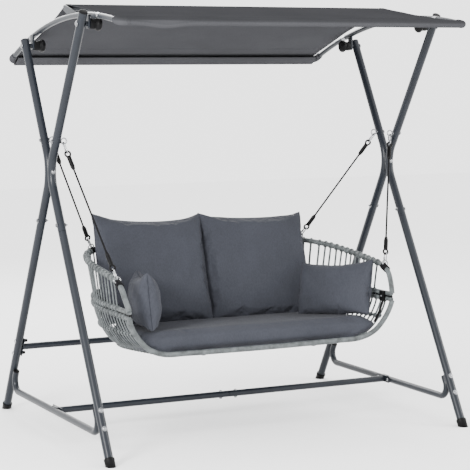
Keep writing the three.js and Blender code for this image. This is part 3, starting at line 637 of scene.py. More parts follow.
def make_foot(label, foot, axis):
    outer, bore = 0.021, 0.0186
    shape = Shape().turned([(0.0, -0.014), (outer, -0.014), (outer, 0.022), (outer + 0.0008, 0.024),
                            (outer + 0.0008, 0.030), (outer - 0.0004, 0.0338), (bore, 0.034),
                            (bore - 0.0008, 0.0300), (0, 0.029)], foot, axis, 40)
    piece = shape.piece(f"{label}_foot_cup", BLACK, "frame", "black_plastic", [f"{label}_foot_cap"])
    cut = bmesh.new()
    cut.from_mesh(piece.data)
    halves = bmesh.ops.bisect_plane(cut, geom=cut.verts[:] + cut.edges[:] + cut.faces[:],
                                    plane_co=(0, 0, 0.0002), plane_no=(0, 0, 1), clear_inner=True)
    edges = [g for g in halves["geom_cut"] if isinstance(g, bmesh.types.BMEdge)]
    bmesh.ops.edgenet_fill(cut, edges=edges)
    bmesh.ops.recalc_face_normals(cut, faces=cut.faces[:])
    cut.to_mesh(piece.data)
    cut.free()


def make_waist_joint(side, sx, hardware):
    """Bolt heads outside the waist, and weld beads where the two posts meet."""
    for ey in (-1, 1):
        dome_head(hardware, row(sx * HALF_WIDTH, ey * 0.0345, WAIST_HEIGHT), ey * Y, 0.0075, 0.006)
    bead = Shape()
    for sign in (-1, 1):
        for k in range(7):
            z = WAIST_HEIGHT - 0.033 + 0.011 * k
            x = sx * HALF_WIDTH + sign * 0.0055
            bead.turned([(0, -0.0045), (0.0030, -0.0036), (0.0044, 0), (0.0030, 0.0036), (0, 0.0045)],
                        row(x, 0, z), (0.25 * sign, 0, 1), 12)
    bead.piece(f"{side}_waist_weld", POWDER, "frame", "frame_steel")


# ------------------------------------------------------------------ lower bars
def make_lower_bars():
    foot, waist, _ = post_line(1.0, "rear", 1.0)
    lean = unit(waist - foot)
    lean = np.array([0, abs(lean[1]), lean[2]])
    vertex = FOOT_REACH - BAR_HEIGHT * lean[1] / lean[2] - BAR_INSET / lean[2]
    for side, sx in SIDES:
        x = sx * HALF_WIDTH
        corner = {s: row(x, s * vertex, BAR_HEIGHT) for s in (-1, 1)}
        tip = {s: row(x, s * (vertex - lean[1] * BAR_END_RISE), BAR_HEIGHT + lean[2] * BAR_END_RISE)
               for s in (-1, 1)}
        path = filleted([tip[-1], corner[-1], corner[1], tip[1]], [BAR_END_BEND, BAR_END_BEND], 14)
        Shape().sweep(path, BAR, 32, side=X).piece(
            f"{side}_side_bar_tube", POWDER, "frame", "frame_steel", [f"{side}_side_bar"])
        plugs = Shape()
        for s in (-1, 1):
            up = unit(tip[s] - corner[s])
            plugs.turned([(BAR - 0.0003, -0.001), (BAR, 0.0005), (BAR - 0.001, 0.0028), (0.008, 0.0036),
                          (0, 0.0038)], tip[s], up, 32)
        plugs.piece(f"{side}_side_bar_plugs", BLACK, "frame", "black_plastic")
        make_stretcher(side, sx)
    make_crossbar(lean)


def make_stretcher(side, sx):
    outer = HALF_WIDTH - BAR - WASHER_GAP
    plate = outer - PLATE
    bar = Shape().turned([(BAR - 0.0016, 0.0004), (BAR, 0.0010), (BAR, plate), (BAR - 0.002, plate)],
                         row(0, 0, BAR_HEIGHT), sx * X, 32)
    flange = rounded_rect(0.112, 0.030, 0.006)
    bar.prism(flange, row(sx * outer if sx < 0 else plate, 0, BAR_HEIGHT + 0.002), Y, Z, PLATE)
    lip = rounded_rect(0.018, 0.052, 0.004)
    bar.prism(lip, row(sx * (HALF_WIDTH - 0.0088), 0, BAR_HEIGHT + BAR + 0.0004), X, Y, PLATE)
    bar.piece(f"{side}_stretcher_tube", POWDER, "frame", "frame_steel", [f"{side}_stretcher_half"])
    bolts = Shape()
    for y in (-0.040, 0.040):
        dome_head(bolts, row(sx * plate, y, BAR_HEIGHT + 0.002), -sx * X, 0.0065, 0.005)
    dome_head(bolts, row(sx * 0.036, 0, BAR_HEIGHT + BAR), Z, 0.0065, 0.005)
    hex_head(bolts, row(sx * 0.036, 0, BAR_HEIGHT - BAR), -Z, 0.006, 0.0045)
    bolts.piece(f"{side}_stretcher_bolts", STEEL, "frame", "bright_steel")


def make_crossbar(lean):
    y = FOOT_REACH - CROSSBAR_HEIGHT * lean[1] / lean[2]
    outer = HALF_WIDTH - TUBE - WASHER_GAP
    inner = outer - PLATE
    centre = row(0, y, CROSSBAR_HEIGHT)
    bar = Shape().turned([(BAR - 0.002, -inner), (BAR, -inner), (BAR, inner), (BAR - 0.002, inner)],
                         centre, X, 32)
    along = np.array([0, -lean[1], lean[2]])
    outline = rounded_rect(0.026, 0.095, 0.006)
    bolts = Shape()
    nuts = Shape()
    for sx in (-1, 1):
        across = np.cross(along, X)
        start = inner if sx > 0 else -outer
        bar.prism(outline, centre + X * start, across, along, PLATE)
        for step in (-0.034, 0.034):
            spot = centre + along * step
            dome_head(bolts, spot + sx * X * (HALF_WIDTH + TUBE), sx * X, 0.0075, 0.0055)
            base = spot + sx * X * inner
            nuts.turned([(0.0085, 0), (0.0085, 0.005), (0.0075, 0.0055), (0.0072, 0.013), (0.005, 0.017),
                         (0, 0.018)], base, -sx * X, 20)
    bar.piece("rear_crossbar_tube", POWDER, "frame", "frame_steel", ["rear_crossbar"])
    bolts.piece("crossbar_bolts", STEEL, "frame", "bright_steel")
    nuts.piece("crossbar_cap_nuts", BLACK, "frame", "black_plastic")


# ------------------------------------------------------------------ canopy frame
RIDGE_HALF = 0.751
# A knob's outline: radius, distance from its inner face, and 0 for plain, up to 1 for lobed, 2 for ribbed.
KNOB_PROFILE = [
    (0.0, 0.0, 0), (0.016, 0.0, 0), (0.0235, 0.0014, 0.3), (0.0268, 0.0052, 1), (0.0276, 0.011, 1),
    (0.0268, 0.0170, 1), (0.0238, 0.0208, 0.4), (0.0206, 0.0222, 0), (0.0196, 0.0240, 2),
    (0.0202, 0.0265, 2), (0.0202, 0.0440, 2), (0.0190, 0.0462, 2), (0.0120, 0.0472, 0), (0.0, 0.0474, 0),
]
LOBES = 8
LOBE_DEPTH = 0.020
RIBS = 24
RIB_DEPTH = 0.045
CHORD = FRONT_BAR - REAR_BAR
CHORD_LENGTH = float(np.linalg.norm(CHORD))
ARC_RADIUS = (CHORD_LENGTH ** 2 / 4 + RAIL_RISE ** 2) / (2 * RAIL_RISE)
ARC_HALF = math.asin(CHORD_LENGTH / 2 / ARC_RADIUS)
CHORD_DIR = CHORD / CHORD_LENGTH
CHORD_UP = np.array([CHORD_DIR[1], -CHORD_DIR[0]])


def rail_point(x, u):
    angle = (2 * u - 1) * ARC_HALF
    flat = (REAR_BAR + CHORD_DIR * CHORD_LENGTH / 2 + CHORD_UP * (RAIL_RISE - ARC_RADIUS)
            + CHORD_DIR * ARC_RADIUS * math.sin(angle) + CHORD_UP * ARC_RADIUS * math.cos(angle))
    return row(x, flat[0], flat[1])


def rail_points(x, start, end, steps):
    return np.array([rail_point(x, start + (end - start) * k / steps) for k in range(steps + 1)])


def rail_height_at(y):
    points = rail_points(0, 0, 1, 400)
    return points[np.argmin(np.abs(points[:, 1] - y))][2]


def end_bar_path(corner_u, join_u):
    shift = CORNER_SHARE if corner_u == 0 else -CORNER_SHARE
    left = rail_points(-RAIL_X, join_u, corner_u + shift, 10)
    right = rail_points(RAIL_X, corner_u + shift, join_u, 10)
    corners = filleted([left[-1], rail_point(-RAIL_X, corner_u), rail_point(RAIL_X, corner_u), right[0]],
                       [CORNER_RADIUS, CORNER_RADIUS], 12)
    return np.concatenate([left[:-1], corners, right[1:]])


def make_canopy_frame():
    for name, corner_u, join_u in (("rear", 0, RAIL_START), ("front", 1, RAIL_END)):
        Shape().sweep(end_bar_path(corner_u, join_u), RAIL_TUBE, 28).piece(
            f"canopy_{name}_bar_tube", POWDER, "frame", "frame_steel", [f"canopy_{name}_bar"])
    ridge = Shape()
    ridge_at = row(0, *RIDGE_BAR)
    ridge.turned([(0.009, -RIDGE_HALF - 0.001), (RAIL_TUBE, -RIDGE_HALF), (RAIL_TUBE, RIDGE_HALF),
                  (0.009, RIDGE_HALF + 0.001)], ridge_at, X, 28)
    ridge.piece("canopy_ridge_tube", POWDER, "frame", "frame_steel", ["canopy_ridge_bar"])
    tips = Shape()
    for sx in (-1, 1):
        tips.turned([(0.0118, -0.026), (0.0128, -0.024), (0.0128, 0), (0.0100, 0.0040), (0.004, 0.0060),
                     (0, 0.0062)], ridge_at + sx * X * RIDGE_HALF, sx * X, 28)
    tips.piece("canopy_ridge_caps", BLACK, "frame", "black_plastic")

    for side, sx in SIDES:
        rail = Shape().sweep(rail_points(sx * RAIL_X, RAIL_START, RAIL_END, 40), RAIL_TUBE, 28)
        outline = [(-0.205, 1.738), (-0.130, 1.736), (-0.044, 1.772), (-0.044, 1.788), (-0.052, 1.792),
                   (-0.066, 1.792), (-0.205, 1.756)]
        start = 0.7524 if sx > 0 else -0.760
        rail.prism(outline, row(start, 0, 0), Y, Z, 0.0076)
        for end, ey in ENDS:
            add_tab(rail, sx, end, ey)
        rail.piece(f"canopy_{side}_rail_tube", POWDER, "frame", "frame_steel", [f"canopy_{side}_rail"])
        make_rail_collars(side, sx)
        for end, ey in ENDS:
            make_knob(side, sx, end, ey)


def add_tab(rail, sx, end, ey):
    axis = upper_at(post_line(sx, end, ey), KNOB_HEIGHT[end])
    low, high = axis[2] - 0.018, rail_height_at(axis[1])
    outline = [(-0.015, low + 0.006), (-0.009, low), (0.009, low), (0.015, low + 0.006), (0.015, high),
               (-0.015, high)]
    start = 0.776 if sx > 0 else -0.784
    rail.prism(outline, np.array([start, axis[1], 0]), Y, Z, TAB)
    boss = axis.copy()
    boss[0] = sx * 0.783
    rail.turned([(0.010, 0), (0.010, 0.0095)], boss, sx * X, 24)


def make_rail_collars(side, sx):
    """Bright collars where the end bars plug into the rail, each with a screw, and the knobs' washers."""
    collars = Shape()
    for u in (RAIL_START, RAIL_END):
        collars.sweep(rail_points(sx * RAIL_X, u - 0.011, u + 0.011, 6), RAIL_TUBE + 0.0010, 28)
        spot = rail_point(sx * RAIL_X, u + 0.004)
        dome_head(collars, spot + sx * X * (RAIL_TUBE + 0.0006), sx * X, 0.0045, 0.0035)
    for end, ey in ENDS:
        axis = upper_at(post_line(sx, end, ey), KNOB_HEIGHT[end])
        axis[0] = sx * 0.7625
        collars.turned([(0.0045, 0), (0.0115, 0), (0.0115, 0.0024), (0.0045, 0.0024)], axis, sx * X, 28)
    collars.piece(f"{side}_rail_collars", STEEL, "frame", "bright_steel")


def make_knob(side, sx, end, ey):
    """A hand knob: a ribbed hub, a wide grip disc with rounded lobes, on a bolt through the post."""
    axis = upper_at(post_line(sx, end, ey), KNOB_HEIGHT[end])
    label = f"{side}_{end}"
    tip = axis.copy()
    tip[0] = sx * BOLT_TIP
    head = HALF_WIDTH + TUBE + WASHER_GAP - BOLT_TIP
    Shape().turned([(0.0034, 0), (0.004, 0.0008), (0.004, head), (0.0118, head), (0.0118, head + 0.0012),
                    (0.0092, head + 0.0012), (0.0086, head + 0.0038), (0.005, head + 0.0056),
                    (0, head + 0.0060)], tip, sx * X, 24).piece(
        f"{label}_bolt", STEEL, "frame", "bright_steel", [f"{label}_canopy_bolt"])
    shape = Shape()
    start = axis.copy()
    start[0] = sx * KNOB_FACE
    sides = 72
    angles = 2 * math.pi * np.arange(sides) / sides
    rows = []
    across, up = Y, np.cross(sx * X, Y)
    for radius, distance, style in KNOB_PROFILE:
        r = np.full(sides, max(radius, 1e-4))
        if 0 < style <= 1:
            r = r * (1 + LOBE_DEPTH * style * np.cos(LOBES * angles))
        if style == 2:
            r = r * (1 - RIB_DEPTH * (np.cos(RIBS * angles) > 0))
        rows.append(start + sx * X * distance + r[:, None] * (
            across * np.cos(angles)[:, None] + up * np.sin(angles)[:, None]))
    shape.rings(rows)
    shape.piece(f"{label}_hand_knob", BLACK, f"{label}_knob_body", "black_plastic", [f"{label}_knob"])


# ------------------------------------------------------------------ canopy cloth
CLOTH_RADIUS = RAIL_TUBE + 0.0018
CLOTH_HALF = 0.752
CLOTH_WAIST = 0.737
HEM_FLAP = 0.050
SLEEVE_HANG = 0.008
SLEEVE_TURN = math.radians(196)
CLOTH_THICKNESS = 0.0012
FOLD_X = -0.585
FOLD_HALF = 0.075
FOLD_DEPTH = 0.010
SAG_DEPTH = 0.006
RIPPLE = 0.0035
PULL = 0.0022
HEM_ROW = 10
STITCH_ROW = 24
MIDDLE_COLUMN = 45
STITCH = 0.00055


def round_bar(centre, angle):
    """A point of the cloth round a bar; the rear sleeve hangs a little below its bar."""
    hang = SLEEVE_HANG if centre is REAR_BAR else 0
    return centre + CLOTH_RADIUS * np.array([math.cos(angle), math.sin(angle)]) - np.array(
        [0, hang * max(0.0, -math.sin(angle))])


def half_section(bar, normal, turn):
    """The cloth from its inner hem, round an end bar and up its slope, short of the ridge."""
    hem_angle = normal + turn * SLEEVE_TURN
    outward = np.array([math.cos(normal), math.sin(normal)])
    hem, along = round_bar(bar, hem_angle), unit(RIDGE_BAR - bar)
    points = [hem + along * HEM_FLAP * k / 6 + CLOTH_RADIUS * 1.2 * (k / 6) ** 2 * outward
              for k in range(6, 0, -1)]
    points += [round_bar(bar, hem_angle + (normal - hem_angle) * k / 12) for k in range(13)]
    sag = [0.0] * len(points)
    start, end = round_bar(bar, normal), round_bar(RIDGE_BAR, normal)
    for k in range(1, 30):
        points.append(start + (end - start) * k / 30)
        sag.append(math.sin(math.pi * k / 30))
    return points, sag


def canopy_section():
    """The cloth's line in the Y-Z plane, from the rear hem to the front hem, with its sag at each point."""
    def normal(a, b):
        d = b - a
        return math.atan2(-d[0], d[1])

    rear, front = normal(REAR_BAR, RIDGE_BAR), normal(RIDGE_BAR, FRONT_BAR)
    back, back_sag = half_section(REAR_BAR, rear, -1)
    fore, fore_sag = half_section(FRONT_BAR, front, 1)
    ridge = [round_bar(RIDGE_BAR, rear + (front - rear) * k / 4) for k in range(5)]
    return np.array(back + ridge + fore[::-1]), np.array(back_sag + [0.0] * 5 + fore_sag[::-1])


def cloth_half(sag):
    """Half the cloth's width, which draws in where the cloth hangs free of the bars."""
    return CLOTH_HALF - (CLOTH_HALF - CLOTH_WAIST) * sag


def make_canopy():
    section, sag = canopy_section()
    columns = 2 * MIDDLE_COLUMN
    grid = []
    for (y, z), s in zip(section, sag):
        half = cloth_half(s)
        line = []
        for c in range(columns + 1):
            u = 2 * c / columns - 1
            x = half * u
            ripple = noise.noise(Vector((x * 3.1, y * 7.0, 0.3))) * RIPPLE
            pull = noise.noise(Vector((x * 9.0, y * 2.5, 4.7))) * PULL * abs(u) ** 3
            drop = s * (SAG_DEPTH * (1 - 0.35 * u * u) + ripple + pull)
            if y < FRONT_BAR[0] + 0.03 and z < FRONT_BAR[1] + 0.004:
                drop += FOLD_DEPTH * math.exp(-((x - FOLD_X) / FOLD_HALF) ** 2)
            line.append(row(x, y, z - drop))
        grid.append(line)
    grid = np.array(grid)
    rows, cols = grid.shape[:2]
    faces = [(i * cols + j, i * cols + j + 1, (i + 1) * cols + j + 1, (i + 1) * cols + j)
             for i in range(rows - 1) for j in range(cols - 1)]
    mesh = bpy.data.meshes.new("canopy_cloth")
    mesh.from_pydata(grid.reshape(-1, 3).tolist(), [], faces)
    smooth_shaded(mesh)
    cloth = placed("canopy_cloth", mesh, CANOPY, "frame", ["canopy_fabric"])
    thick = cloth.modifiers.new("thickness", "SOLIDIFY")
    thick.thickness = CLOTH_THICKNESS
    thick.offset = 0
    hems = make_canopy_hems(grid)


def stitched(shape, thread):
    """Short stitches: every other stretch of the thread's line."""
    for a, b in zip(thread[0:-1:2], thread[1::2]):
        shape.sweep([a, (a + b) / 2, b], STITCH, 5)


def make_canopy_hems(grid):
    """Side hems, stitch lines and the corner pockets that slip over the ends of the bars."""
    pieces = []
    hem = Shape()
    flat = rounded_rect(0.020, 0.0026, 0.0012, 2)
    stitches = Shape()
    span = slice(HEM_ROW, len(grid) - HEM_ROW)
    for edge, inner in ((0, 1), (-1, -2)):
        line = grid[span, edge]
        inward = grid[span, inner] - line
        inward /= np.linalg.norm(inward, axis=1)[:, None]
        centre = line + inward * 0.009
        tangents = np.gradient(centre, axis=0)
        tangents /= np.linalg.norm(tangents, axis=1)[:, None]
        normals = np.cross(tangents, inward)
        rows = centre[:, None] + inward[:, None] * flat[None, :, :1] + normals[:, None] * flat[None, :, 1:]
        hem.rings(rows)
        for sign in (-1, 1):
            stitched(stitches, evenly(line + inward * 0.017 + normals * 0.0014 * sign, 330))
    pieces.append(hem.piece("canopy_side_hems", CANOPY, "frame", "canopy_cloth"))
    for index in (STITCH_ROW, len(grid) - 1 - STITCH_ROW):
        for sign in (-1, 1):
            offset = grid[index + 1, MIDDLE_COLUMN] - grid[index - 1, MIDDLE_COLUMN]
            stitched(stitches, evenly(grid[index] + unit(np.cross(X, offset)) * 0.0009 * sign, 560))
    pieces.append(stitches.piece("canopy_stitches", THREAD, "frame", "canopy_cloth"))
    for name, corner_u, join_u in (("rear", 0, RAIL_START), ("front", 1, RAIL_END)):
        path = end_bar_path(corner_u, join_u)
        for side, sx in SIDES:
            near = path[np.abs(path[:, 0] - sx * RAIL_X) < 0.034]
            corner = rail_point(sx * RAIL_X, corner_u)
            near = near[np.linalg.norm(near - corner, axis=1) < 0.075]
            line = evenly(near, 22)
            swell = np.sin(np.linspace(0, math.pi, len(line))) ** 0.5
            pocket = Shape().sweep(line, 0.0132 + 0.0022 * swell, 20)
            pieces.append(pocket.piece(f"canopy_{side}_{name}_pocket", CANOPY, "frame", "canopy_cloth"))
    return pieces


# ------------------------------------------------------------------ ropes
HOOK_HALF = 0.0075
LINK_HALF = 0.0085
LOOP_STRAIGHT = 0.033
WIRE = 0.0025
THIMBLE = 0.0040
LOOP_GAP = 0.0005
RING_HALF = 0.0135
RING_RISE = 0.034
ROPE_SLACK = 0.006
SLEEVE_START = 0.053
BRAID_START = 0.106
EYE_WIRE = 0.0028
HOOK_WIRE = 0.0026
BRAID_STATION = 0.0022
BRAID_LAY = 0.030
BRAID_RADIUS = 0.0037
BRAID_LOBE = 0.00055
SLEEVE_RIB = 0.0050
LACING_TURNS = 7
# Where the rings hold the rim: half width, depth and height.
RIM_HOLD = {"front": (0.626, -0.290, 0.656), "rear": (0.508, 0.306, 0.737)}


def mirrored(half):
    right = [row(*p) for p in half]
    left = [row(-p[0], p[1], p[2]) for p in half[:0:-1]]
    return left + right


RIM = spline(mirrored(RIM_HALF), 600)


def rope_line(sx, end, ey):
    eye = upper_at(post_line(sx, end, ey), EYE_HEIGHT)
    eye_x = HALF_WIDTH - TUBE - WASHER_GAP - EYE_RING - EYE_WIRE
    hinge = np.array([sx * eye_x, eye[1], EYE_HEIGHT - EYE_RING])
    x, y, z = RIM_HOLD[end]
    target = row(sx * x, y, z)
    rim = RIM[np.argmin(np.linalg.norm(RIM - target, axis=1))]
    down = unit(rim - hinge)
    depthwise = unit(Y - down * down[1])
    return {"eye": eye, "eye_x": eye_x, "hinge": hinge, "rim": rim, "down": down, "depthwise": depthwise,
            "sideways": unit(np.cross(down, depthwise)), "anchor": rim - down * RING_RISE}


def link_path(centre, along, across, half, straight, steps=12):
    out = []
    for k in range(steps + 1):
        a = math.pi * k / steps
        out.append(centre + across * half * math.cos(a) - along * half * math.sin(a))
    for k in range(steps + 1):
        a = math.pi * (1 + k / steps)
        out.append(centre + along * straight + across * half * math.cos(a) - along * half * math.sin(a))
    if straight == 0:
        out = out[:steps] + out[steps + 1:-1]
    return np.array(out)


def make_rope(side, sx, end, ey):
    line = rope_line(sx, end, ey)
    hinge, down = line["hinge"], line["down"]
    label = f"{side}_{end}"
    body = f"{end}_ropes"
    length = np.linalg.norm(line["anchor"] - hinge) + ROPE_SLACK

    eye_centre = np.array([sx * line["eye_x"], line["eye"][1], EYE_HEIGHT])
    eye = Shape().sweep(link_path(eye_centre, Z, X, EYE_RING, 0, 16), EYE_WIRE, 14, closed=True, side=Y)
    shank_start = eye_centre + sx * X * (EYE_RING - 0.001)
    reach = HALF_WIDTH + TUBE + 0.007 - (line["eye_x"] + EYE_RING - 0.001)
    eye.turned([(0.004, 0), (0.004, reach - 0.001), (0.003, reach)], shank_start, sx * X, 16)
    face = eye_centre.copy()
    face[0] = sx * (HALF_WIDTH + TUBE)
    hex_head(eye, face, sx * X, 0.0072, 0.0046)
    face[0] = sx * (HALF_WIDTH - TUBE)
    eye.turned([(0.0095, 0), (0.0095, 0.0012)], face, -sx * X, 20)
    eye.piece(f"{label}_eye", STEEL, "frame", "bright_steel", [f"{label}_eye_bolt"])

    make_snap_hook(label, line, body)
    hub = hinge + down * (length - LOOP_STRAIGHT)
    link = Shape().sweep(link_path(hub, down, line["depthwise"], LINK_HALF, LOOP_STRAIGHT), WIRE, 14,
                         closed=True, side=line["sideways"])
    link.turned([(0.0030, -0.006), (0.0040, -0.005), (0.0040, 0.005), (0.0030, 0.006)],
                hub + down * LOOP_STRAIGHT / 2 + line["depthwise"] * LINK_HALF, down, 6)
    link.piece(f"{label}_quick_link", STEEL, body, "bright_steel", [f"{label}_link"])

    thimble_top = LOOP_STRAIGHT + HOOK_HALF - WIRE - THIMBLE - LOOP_GAP
    link_top = length - LOOP_STRAIGHT - LINK_HALF
    thimble_end = link_top + WIRE + THIMBLE + LOOP_GAP
    black = Shape()
    for top, sign in ((thimble_top, 1), (thimble_end, -1)):
        at = hinge + down * (top + sign * 0.011)
        loop = []
        for k in range(28):
            a = 2 * math.pi * k / 28
            stretch = 1 + 0.55 * max(0.0, math.cos(a)) ** 2
            pinch = 1 - 0.25 * max(0.0, math.cos(a)) ** 2
            loop.append(at + down * sign * 0.011 * math.cos(a) * stretch
                        + line["sideways"] * 0.0112 * math.sin(a) * pinch)
        black.sweep(loop, THIMBLE, 12, closed=True, side=line["depthwise"])
        base = hinge + down * (SLEEVE_START if sign > 0 else length - SLEEVE_START)
        sleeve = [(0.006, 0), (0.0088, 0.003)]
        for k in range(9):
            sleeve += [(radius, at + k * SLEEVE_RIB) for radius, at in (
                (0.0095, 0.0055), (0.0095, 0.0080), (0.0085, 0.0086), (0.0085, 0.0099))]
        sleeve += [(0.0080, 0.0535), (0.0062, 0.0600), (0.0050, 0.0612)]
        black.turned(sleeve, base, down * sign, 24)
    black.piece(f"{label}_sleeves", BLACK, body, "rope_fibre")

    start, stop = hinge + down * BRAID_START, hinge + down * (length - BRAID_START)
    run = np.linalg.norm(stop - start)
    stations = int(run / BRAID_STATION)
    angles = 2 * math.pi * np.arange(20) / 20
    rows = []
    for k in range(stations + 1):
        s = run * k / stations
        turn = 2 * math.pi * s / BRAID_LAY
        crossing = np.abs(np.cos(2 * (angles - turn))) * np.abs(np.cos(2 * (angles + turn)))
        lobes = BRAID_RADIUS + BRAID_LOBE * crossing
        rows.append(start + down * s + lobes[:, None] * (
            line["depthwise"] * np.cos(angles)[:, None] + np.cross(down, line["depthwise"])
            * np.sin(angles)[:, None]))
    rope = Shape().rings(rows)
    rope.piece(f"{label}_braid", ROPE, body, "rope_fibre", [f"{label}_rope"])
    return line


def make_snap_hook(label, line, body):
    """A spring snap hook: a bent wire body with a hinged gate and two bright rivets."""
    down, wide = line["down"], line["depthwise"]
    path = link_path(line["hinge"], down, wide, HOOK_HALF, LOOP_STRAIGHT)
    hook = Shape().sweep(path, HOOK_WIRE, 14, closed=True, side=line["sideways"])
    gate = line["hinge"] + wide * HOOK_HALF
    hook.turned([(0.0024, -0.001), (0.0034, 0.0005), (0.0034, 0.020), (0.0022, 0.0225)],
                gate + down * 0.006, down, 14)
    for step in (0.0055, 0.0275):
        hook.turned([(0.0018, -0.0042), (0.0018, 0.0042)], gate + down * step, line["sideways"], 12)
    hook.piece(f"{label}_hook", STEEL, body, "bright_steel", [f"{label}_snap_hook"])


def make_ropes():
    rings = Shape()
    lacing = Shape()
    for side, sx in SIDES:
        for end, ey in ENDS:
            line = make_rope(side, sx, end, ey)
            centre = line["anchor"] + line["down"] * RING_HALF
            rings.sweep(link_path(centre, line["down"], line["sideways"], RING_HALF, 0, 18), WIRE, 14,
                        closed=True, side=line["depthwise"])
            add_lacing(lacing, line)
    rings.piece("rim_rings", STEEL, "seat", "bright_steel")
    lacing.piece("rim_lacing", ROPE, "seat", "rope_fibre")


def add_lacing(lacing, line):
    """Black cord bound round the rim where a ring holds it."""
    index = int(np.argmin(np.linalg.norm(RIM - line["rim"], axis=1)))
    tangent = unit(RIM[index + 1] - RIM[index - 1])
    outward = unit(line["anchor"] - line["rim"])
    outward = unit(outward - tangent * (outward @ tangent))
    up = np.cross(tangent, outward)
    points = []
    for k in range(LACING_TURNS * 20 + 1):
        a = 2 * math.pi * k / 20
        step = (k / 20 - LACING_TURNS / 2) * 0.0052
        points.append(line["rim"] + tangent * step
                      + (RIM_TUBE + 0.0016) * (outward * math.cos(a) + up * math.sin(a)))
    lacing.sweep(points, 0.0024, 8, side=tangent)


# ------------------------------------------------------------------ basket
def seam_points(z):
    return mirrored([(x, y, z) for x, y in SEAM_HALF])


def front_fraction():
    """The front rim's outline as shares: sideways from 0 to 1, and up from its bottom to the seam."""
    line = spline([np.array(p) for p in FRONT_HALF], 60)
    across = line[:, 0] / line[-1, 0]
    up = (line[:, 2] - line[0, 2]) / (line[-1, 2] - line[0, 2])
    return across, up


ACROSS, RISE = front_fraction()


def pan_height(y):
    return FRONT_HALF[0][2] - math.tan(SEAT_TILT) * (y - FRONT_HALF[0][1])


def seam_half_width(y):
    line = spline([np.array([x, q, 0.0]) for x, q in SEAM_HALF], 200)[:, :2]
    line = line[line[:, 0] > 0.25]
    order = np.argsort(line[:, 1])
    return float(np.interp(y, line[order, 1], line[order, 0]))


def cross_strand(y, top):
    """A line under the seat, from the seam on one side to the seam on the other."""
    half = seam_half_width(y)
    low = pan_height(y)
    right = [row(half * a, y, low + (top - low) * r) for a, r in zip(ACROSS, RISE)]
    left = [row(-half * a, y, low + (top - low) * r) for a, r in zip(ACROSS, RISE)]
    return np.array(left[:0:-1] + right)


def loop_round(shape, centre, tangent, radius, wire=LOOP_WIRE):
    """A strand's turn round a tube."""
    tangent = unit(tangent)
    side = unit(np.cross(tangent, Z if abs(tangent[2]) < 0.9 else X))
    up = np.cross(tangent, side)
    points = [centre + radius * (side * math.cos(a) + up * math.sin(a))
              for a in 2 * math.pi * np.arange(14) / 14]
    shape.sweep(points, wire, 6, closed=True, side=tangent)


def make_basket_tubes():
    upper = Shape().wrapped(RIM, RIM_TUBE)
    upper.wrapped(spline(seam_points(SEAM_UPPER), 400), SEAM_TUBE)
    upper.piece("basket_rim", WICKER, "seat", "wicker", ["basket_back_frame"], 50)
    lower = Shape().wrapped(spline(seam_points(SEAM_LOWER), 400), SEAM_TUBE)
    lower.wrapped(spline(mirrored(FRONT_HALF), 300), RIM_TUBE)
    lower.wrapped(cross_strand(REAR_RAIL_Y, SEAM_LOWER), 0.0085)
    lower.piece("basket_lower_rim", WICKER, "seat", "wicker", ["basket_seat_frame"], 50)
    # Painted shade: a black strip fills the gap between the two seam tubes, where the gap lies in shade.
    gap_shade = Shape().sweep(spline(seam_points((SEAM_UPPER + SEAM_LOWER) / 2), 160), 0.0044, 10)
    gap_shade.piece("basket_seam_gap_shade", BLACK, "seat", "black_plastic")
    bearers = Shape()
    front = FRONT_HALF[0][1] + 0.002
    for sx in (-1, 1):
        corners = [(front, pan_height(front))]
        corners += [(y, pan_height(y) - BEARER["drop"]) for y in (front + BEARER["lead"], BEARER["turn"])]
        corners += [(BEARER["rear"], BEARER["rise"]), (BEARER["rear"], SEAM_LOWER - 0.006),
                    (SEAM_HALF[0][1], SEAM_LOWER)]
        path = filleted([row(sx * BEARER["x"], y, z) for y, z in corners], BEARER_FILLETS, 8)
        bearers.sweep(path, BEARER["radius"], 20, side=X)
    bearers.piece("basket_bearers", POWDER, "seat", "frame_steel")


def make_upper_strands():
    seam = spline(seam_points(SEAM_UPPER), 600)
    strands = Shape()
    total = length_of(seam)
    count = int(total / STRAND_SPACING)
    for k in range(1, count):
        base = seam[int(round(600 * k / count))]
        if base[1] < WAIST_Y + UPPER_FRONT:
            continue
        gap = np.hypot(RIM[:, 0] - base[0], RIM[:, 1] - base[1])
        top_index = int(np.argmin(gap))
        top = RIM[top_index]
        index = int(round(600 * k / count))
        along = unit(seam[min(index + 1, 600)] - seam[index - 1])
        bow = 0.0015 * math.sin(2.4 * k)
        for offset in (-PAIR, PAIR):
            points = [base + along * offset, (base + top) / 2 + along * (offset + bow), top + along * offset]
            strands.sweep(spline(points, 10), STRAND, 8)
        loop_round(strands, top, RIM[min(top_index + 1, 600)] - RIM[top_index - 1], RIM_TUBE + LOOP_OVER)
        loop_round(strands, base, along, SEAM_TUBE + LOOP_OVER)
    strands.piece("basket_upper_strands", WICKER, "seat", "wicker", ["basket_back_weave"], 60)


